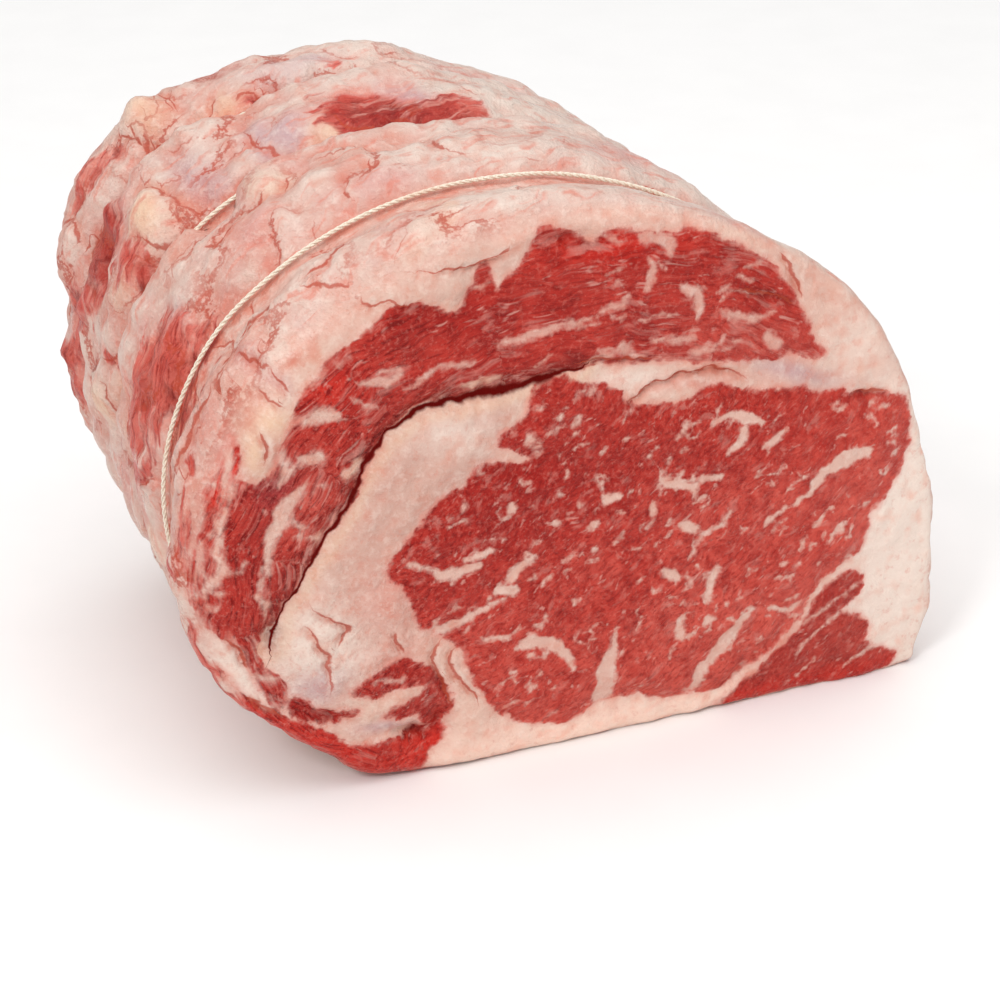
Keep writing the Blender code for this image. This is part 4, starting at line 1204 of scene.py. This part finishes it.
def meat_material():
    """Muscle and fat. The mesh's fields say which is where; noise breaks up their edges."""
    net = Net("meat")
    place = net.add("TexCoord").outputs["Object"]
    flow = net.attribute("flow", "Vector")
    fat_edge = net.attribute("fat_edge")
    grain = net.attribute("grain")
    fray = net.attribute("fray")

    clefts = net.add("SeparateXYZ", {0: net.attribute("clefts", "Vector")}).outputs
    crisp = clefts[2]
    grit = net.noise(place, 900, 3.0, 0.7)
    parts = net.add("SeparateXYZ", {0: net.attribute("clouds", "Vector")}).outputs
    cluster, local, soft = parts[0], parts[1], parts[2]
    ragged = net.math("SUBTRACT", net.noise(place, 700, 2.0, 0.6), 0.5)
    streak = net.math("SUBTRACT", net.noise(flow, 0.42, 2.0, 0.6), 0.5)
    edge = net.math("ADD", fat_edge, net.math("MULTIPLY", ragged, 1.6))
    edge = net.math("ADD", edge, net.math("MULTIPLY", net.math("MULTIPLY", streak, fray), 2.4))
    edge = net.math("DIVIDE", edge, net.math("ADD", net.math("MULTIPLY", fray, 0.5), 0.7))
    soft_edge = net.math("MULTIPLY", grain, 0.5)
    fat = net.step(edge, net.math("SUBTRACT", -0.3, soft_edge), net.math("ADD", 0.32, soft_edge))

    # marbling: small flecks along the fibres, in clusters, and a haze of fat between them
    fleck = net.noise(flow, 0.62, 2.0, 0.55)
    fleck = net.math("ADD", fleck, net.math("MULTIPLY", net.math("SUBTRACT", cluster, 0.5), 0.16))
    fleck = net.step(fleck, 0.62, 0.76)
    haze = net.step(net.noise(flow, 0.34, 3.0, 0.65), 0.54, 0.70)
    fine = net.math("MULTIPLY", fleck, 0.5)
    fine = net.math("MAXIMUM", fine, net.math("MULTIPLY", haze, net.math("ADD", net.math("MULTIPLY", fray, 0.10), 0.20)))
    fine = net.math("MULTIPLY", fine, grain)

    # muscle
    fibre = net.noise(flow, 1.0, 4.0, 0.68)
    speck = net.noise(place, 1100, 2.0, 0.6)
    muscle = net.attribute("meat_tint", "Color")
    darker = net.mix(1.0, muscle, rgba(srgb(176, 84, 78)), "MULTIPLY")
    gaps = net.math("ADD", net.math("MULTIPLY", crisp, 0.4), 0.42)
    muscle = net.mix(net.math("MULTIPLY", net.step(fibre, 0.54, 0.34), gaps), muscle, darker)
    muscle = net.mix(net.math("MULTIPLY", net.step(local, 0.62, 0.30), 0.3), muscle, darker)
    muscle = net.mix(net.math("MULTIPLY", net.step(fibre, 0.52, 0.72), 0.32), muscle, rgba(srgb(216, 104, 88)))
    # pale pink specks on the muscle, partly its grain and partly painted glints
    speck_and_glint_share = net.math("ADD", net.math("MULTIPLY", crisp, 0.1), 0.2)
    muscle = net.mix(net.math("MULTIPLY", net.step(speck, 0.5, 0.74), speck_and_glint_share), muscle, rgba(srgb(220, 128, 114)))
    muscle = net.mix(fine, muscle, rgba(srgb(228, 172, 158)))

    # fat
    fat_colour = net.attribute("fat_tint", "Color")
    rosy = net.mix(1.0, fat_colour, rgba(srgb(250, 206, 194)), "MULTIPLY")
    fat_colour = net.mix(net.math("MULTIPLY", net.step(soft, 0.46, 0.80), 0.6), fat_colour, rosy)
    strand = net.math("MULTIPLY", net.step(streak, 0.02, 0.22), net.math("MULTIPLY", fray, 0.2))
    fat_colour = net.mix(strand, fat_colour, rgba(srgb(216, 128, 110)))
    pale = net.mix(0.35, fat_colour, rgba(srgb(250, 236, 224)))
    waxy = net.noise(place, 380, 5.0, 0.66)
    fat_colour = net.mix(net.math("MULTIPLY", net.step(waxy, 0.5, 0.66), 0.6), fat_colour, pale)
    fat_colour = net.mix(net.math("MULTIPLY", net.step(waxy, 0.44, 0.30), 0.35), fat_colour, rgba(srgb(212, 132, 112)))

    fat_colour = net.mix(net.math("MULTIPLY", net.step(grit, 0.50, 0.72), net.math("MULTIPLY", crisp, 0.22)),
                         fat_colour, rgba(srgb(240, 220, 206)))
    fat_colour = net.mix(net.math("MULTIPLY", net.step(grit, 0.48, 0.30), net.math("MULTIPLY", crisp, 0.18)),
                         fat_colour, rgba(srgb(206, 128, 110)))

    colour = net.mix(fat, muscle, fat_colour)

    # torn lines in the membrane
    cracks = net.add("SeparateXYZ", {0: net.attribute("cracks", "Vector")}).outputs
    sheets = net.add("SeparateXYZ", {0: net.attribute("sheets", "Vector")}).outputs
    line = net.math("ABSOLUTE", net.math("ADD", cracks[0], net.math("MULTIPLY", ragged, 1.0)))
    line = net.math("DIVIDE", line, net.math("MAXIMUM", cracks[1], 0.1))
    torn = net.math("MULTIPLY", net.step(line, 0.58, 0.15), net.math("MINIMUM", net.math("MULTIPLY", cracks[1], 1.5), 1.0))
    edge = net.math("ADD", sheets[0], net.math("MULTIPLY", ragged, 2.4))
    edge = net.math("ABSOLUTE", net.math("SUBTRACT", net.math("WRAP", net.math("ADD", edge, SHEET_STEP / 2), SHEET_STEP),
                                         SHEET_STEP / 2))
    torn = net.math("MAXIMUM", torn, net.math("MULTIPLY", net.step(edge, 0.5, 0.05), sheets[1]))
    colour = net.mix(net.math("MULTIPLY", torn, 0.75), colour, rgba(srgb(180, 66, 42)))

    # painted shade: a dark red line in the clefts between the muscles, with less gloss there
    line = net.math("ABSOLUTE", net.math("ADD", clefts[0], net.math("MULTIPLY", ragged, 0.6)))
    line = net.math("DIVIDE", line, net.math("MAXIMUM", clefts[1], 0.05))
    cleft_shade = net.step(line, 1.3, 0.35)
    colour = net.mix(cleft_shade, colour, rgba(srgb(98, 12, 9)))
    gloss = net.math("SUBTRACT", 1.0, net.math("MULTIPLY", cleft_shade, 0.9))

    # surface: fibres on the muscle, a smooth skin on the fat
    lumps = net.math("MULTIPLY", waxy, net.math("ADD", net.math("MULTIPLY", fray, 0.3), 0.8))
    relief = net.mix(fat, net.math("MULTIPLY", fibre, 0.8), lumps)
    relief = net.math("ADD", relief, net.math("MULTIPLY", speck, 0.3))
    relief = net.math("ADD", relief, net.math("MULTIPLY", grit, net.math("MULTIPLY", crisp, 0.8)))
    bump = net.add("Bump", {"Strength": 0.7, "Distance": 0.0007, "Height": relief})
    shine = net.step(local, 0.3, 0.75, 0.26, 0.50)

    shader = net.add("BsdfPrincipled", {
        "Base Color": colour, "Roughness": shine, "Normal": bump.outputs[0],
        "Specular IOR Level": net.math("MULTIPLY", gloss, 0.14),
        "Coat Weight": net.math("MULTIPLY", gloss, 0.04), "Coat Roughness": 0.1,
    })
    return net.output(shader)


def twine_material():
    """Cotton: off-white strands, a little darker between fibres and where meat has stained it."""
    net = Net("twine")
    place = net.add("TexCoord").outputs["Object"]
    fibre = net.noise(place, 2600, 3.0, 0.65)
    stain = net.step(net.noise(place, 55, 2.0, 0.5), 0.5, 0.72)
    colour = net.mix(net.step(fibre, 0.35, 0.65), rgba(srgb(222, 208, 186)), rgba(srgb(246, 238, 222)))
    colour = net.mix(net.math("MULTIPLY", stain, 0.3), colour, rgba(srgb(222, 172, 142)))
    bump = net.add("Bump", {"Strength": 0.5, "Distance": 0.0001, "Height": fibre})
    shader = net.add("BsdfPrincipled", {
        "Base Color": colour, "Roughness": 0.85, "Normal": bump.outputs[0],
        "Sheen Weight": 0.25, "Sheen Roughness": 0.5,
    })
    return net.output(shader)


# ================================================================ twine
STRANDS = 3
STRAND_RADIUS = 0.28
STRAND_OFFSET = 0.29
TWIST_PITCH = 5.2
STRAND_SIDES = 6
STEP = 0.5


def tube_rings(centres, firsts, seconds, radius, sides):
    angles = np.linspace(0, 2 * math.pi, sides, endpoint=False)
    ring = np.cos(angles)[None, :, None] * firsts[:, None] + np.sin(angles)[None, :, None] * seconds[:, None]
    return centres[:, None] + ring * radius[:, None, None]


def sweep(centres, out, radius, sides, closed):
    """Vertices and faces of a tube; out is a direction across it at each point."""
    ahead = np.roll(centres, -1, axis=0) - np.roll(centres, 1, axis=0)
    if not closed:
        ahead[0] = centres[1] - centres[0]
        ahead[-1] = centres[-1] - centres[-2]
    ahead /= np.linalg.norm(ahead, axis=1)[:, None]
    first = out - ahead * np.einsum("ij,ij->i", out, ahead)[:, None]
    first /= np.linalg.norm(first, axis=1)[:, None]
    second = np.cross(ahead, first)
    rings = tube_rings(centres, first, second, np.broadcast_to(radius, len(centres)), sides)
    n = len(centres)
    faces = []
    for i in range(n if closed else n - 1):
        a, b = i * sides, ((i + 1) % n) * sides
        faces += [(a + k, a + (k + 1) % sides, b + (k + 1) % sides, b + k) for k in range(sides)]
    if not closed:
        faces.append(tuple(range(sides))[::-1])
        faces.append(tuple(range((n - 1) * sides, n * sides)))
    return rings.reshape(-1, 3), faces


def twisted(centres, out, closed, taper=False):
    """Strands twisted round a path, as a list of tubes."""
    ahead = np.roll(centres, -1, axis=0) - centres
    if not closed:
        ahead[-1] = ahead[-2]
    steps = np.linalg.norm(ahead, axis=1)
    reach = np.r_[0.0, np.cumsum(steps)[:-1]]
    length = reach[-1] + (steps[-1] if closed else 0)
    turns = max(1, round(length / TWIST_PITCH)) / length
    ahead /= steps[:, None]
    first = out - ahead * np.einsum("ij,ij->i", out, ahead)[:, None]
    first /= np.linalg.norm(first, axis=1)[:, None]
    second = np.cross(ahead, first)
    tubes = []
    for k in range(STRANDS):
        a = 2 * math.pi * (reach * turns + k / STRANDS)
        spread = np.full(len(a), STRAND_OFFSET)
        if taper:
            spread = STRAND_OFFSET * (1 + 0.9 * smooth(reach, length - 3.0, length))
        off = (np.cos(a) * spread)[:, None] * first + (np.sin(a) * spread)[:, None] * second
        tubes.append(sweep(centres + off, out, STRAND_RADIUS, STRAND_SIDES, closed))
    return tubes


def resample(points, step, closed):
    line = np.vstack([points, points[:1]]) if closed else points
    reach = np.r_[0.0, np.cumsum(np.linalg.norm(np.diff(line, axis=0), axis=1))]
    count = max(4, int(reach[-1] / step))
    at = np.linspace(0, reach[-1], count, endpoint=not closed)
    return np.stack([np.interp(at, reach, line[:, k]) for k in range(3)], axis=1)


def loop_route(loop):
    """A twine loop's centre line in the floor of its pinch, with its outward directions."""
    t = (LOOP_Y[loop] - FACE_Y) / (BACK_Y - FACE_Y)
    ring = even_ring(FRONT_OUTLINE, 400) * (1 - t) + even_ring(BACK_OUTLINE, 400) * t
    normal = outline_normals(ring)
    sunk = PINCH_DEPTH - TWINE_GAP - 0.75 * TWINE_RADIUS
    along = np.arange(len(ring)) * AROUND_LENGTH / len(ring)
    pulled = 0.2 * smooth(along, 190, 230) * smooth(-along, -330, -300)
    line = ring - normal * (sunk + pulled)[:, None]
    return np.stack([line[:, 0], np.full(len(line), LOOP_Y[loop]), line[:, 1]], axis=1), normal


def make_twine(loop, look):
    name = TWINE_NODES[loop]
    route, normal = loop_route(loop)
    route[:, 1] += wander(np.arange(len(route)) * AROUND_LENGTH / len(route), loop)
    centres = resample(route, STEP, True)
    middle = centres.mean(0)
    out = centres - middle
    out[:, 1] = 0
    tubes = twisted(centres, out, True)

    aim = np.array([math.cos(KNOT_DIRECTION), math.sin(KNOT_DIRECTION)])
    at = int(np.argmax(normal @ aim))
    outward = np.array([normal[at, 0], 0.0, normal[at, 1]])
    down = np.array([outward[2], 0.0, -outward[0]])
    along = np.array([0.0, 1.0, 0.0])
    knot = route[at] + outward * 1.2

    def frame_points(points):
        return knot + np.outer(points[:, 0], outward) + np.outer(points[:, 1], along) + np.outer(points[:, 2], down)

    turn = np.linspace(0, 2 * math.pi, 90, endpoint=False)
    coil = np.stack([0.9 + 1.25 * np.sin(3 * turn), (1.7 + 0.75 * np.cos(3 * turn)) * np.cos(2 * turn),
                     (1.9 + 0.75 * np.cos(3 * turn)) * np.sin(2 * turn)], axis=1)
    tubes += twisted(resample(frame_points(coil), STEP, True), np.tile(outward, (len(resample(frame_points(coil), STEP, True)), 1)), True)
    for side in (-1.0, 1.0):
        tail = catmull([(0.6, 0.0, 0.0), (1.2, side * 2.6, 0.8), (2.1, side * 6.0, 2.8), (2.6, side * 8.8, 6.2),
                        (2.6, side * 10.6, 10.6)], False, 12)
        points = resample(frame_points(tail), STEP, False)
        tubes += twisted(points, np.tile(outward, (len(points), 1)), False, taper=True)

    vertices, faces = [], []
    for points, polygons in tubes:
        start = sum(len(v) for v in vertices)
        vertices.append(points)
        faces += [tuple(v + start for v in polygon) for polygon in polygons]
    mesh = bpy.data.meshes.new(name + "_strands")
    mesh.from_pydata((np.vstack(vertices) * MM).tolist(), [], faces)
    mesh.shade_smooth()
    made = bpy.data.objects.new(name + "_strands", mesh)
    bpy.context.scene.collection.objects.link(made)
    mesh.materials.append(look)
    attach(made, "root")
    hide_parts(name)
    return made


# ================================================================ stage
TARGET = Vector((-19.8, -65.0, 67.3)) * MM
CAMERA_AZIMUTH = math.radians(-22.5)
CAMERA_ELEVATION = math.radians(27.0)
CAMERA_DISTANCE = 621.3 * MM
CAMERA_LENS = 100.8


def toward(azimuth, elevation):
    return Vector((
        math.sin(azimuth) * math.cos(elevation), -math.cos(azimuth) * math.cos(elevation), math.sin(elevation),
    ))


def make_stage():
    scene = bpy.context.scene
    scene.view_settings.view_transform = "Standard"
    bpy.ops.mesh.primitive_plane_add(size=6.0, location=(0.0, 0.0, 0.0))
    floor = bpy.context.object
    floor.name = "floor"
    net = Net("floor")
    paper = net.noise(net.add("TexCoord").outputs["Object"], 40, 2.0, 0.5)
    colour = net.mix(paper, rgba(srgb(247, 246, 245)), rgba(srgb(252, 251, 250)))
    floor.data.materials.append(net.output(net.add("BsdfPrincipled", {"Base Color": colour, "Roughness": 0.9})))

    world = bpy.data.worlds.new("studio")
    scene.world = world
    world.use_nodes = True
    world.node_tree.nodes["Background"].inputs["Color"].default_value = (1.0, 1.0, 1.0, 1.0)
    world.node_tree.nodes["Background"].inputs["Strength"].default_value = 0.34

    def area(name, azimuth, elevation, distance, size, power, colour=(1.0, 1.0, 1.0)):
        light = bpy.data.lights.new(name, "AREA")
        light.size = size
        light.energy = power
        light.color = colour
        holder = bpy.data.objects.new(name, light)
        direction = toward(math.radians(azimuth), math.radians(elevation))
        holder.location = TARGET + direction * distance
        holder.rotation_mode = "QUATERNION"
        holder.rotation_quaternion = direction.to_track_quat("Z", "Y")
        scene.collection.objects.link(holder)

    area("key", -50, 40, 1.1, 0.25, 4.2)
    area("fill", 30, 20, 1.2, 0.9, 1.7)
    area("overhead", 0, 89, 2.2, 3.0, 50.0)

    camera = bpy.data.objects.new("camera", bpy.data.cameras.new("camera"))
    back = toward(CAMERA_AZIMUTH, CAMERA_ELEVATION)
    camera.location = TARGET + back * CAMERA_DISTANCE
    camera.rotation_mode = "QUATERNION"
    camera.rotation_quaternion = back.to_track_quat("Z", "Y")
    camera.data.lens = CAMERA_LENS
    camera.data.clip_start = 0.01
    camera.data.clip_end = 50.0
    scene.collection.objects.link(camera)
    scene.camera = camera


# ================================================================ build
make_stage()
meat = make_meat()
meat.data.materials.append(meat_material())
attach(meat, "root")
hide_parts("roast")
cotton = twine_material()
for loop_number in range(3):
    make_twine(loop_number, cotton)
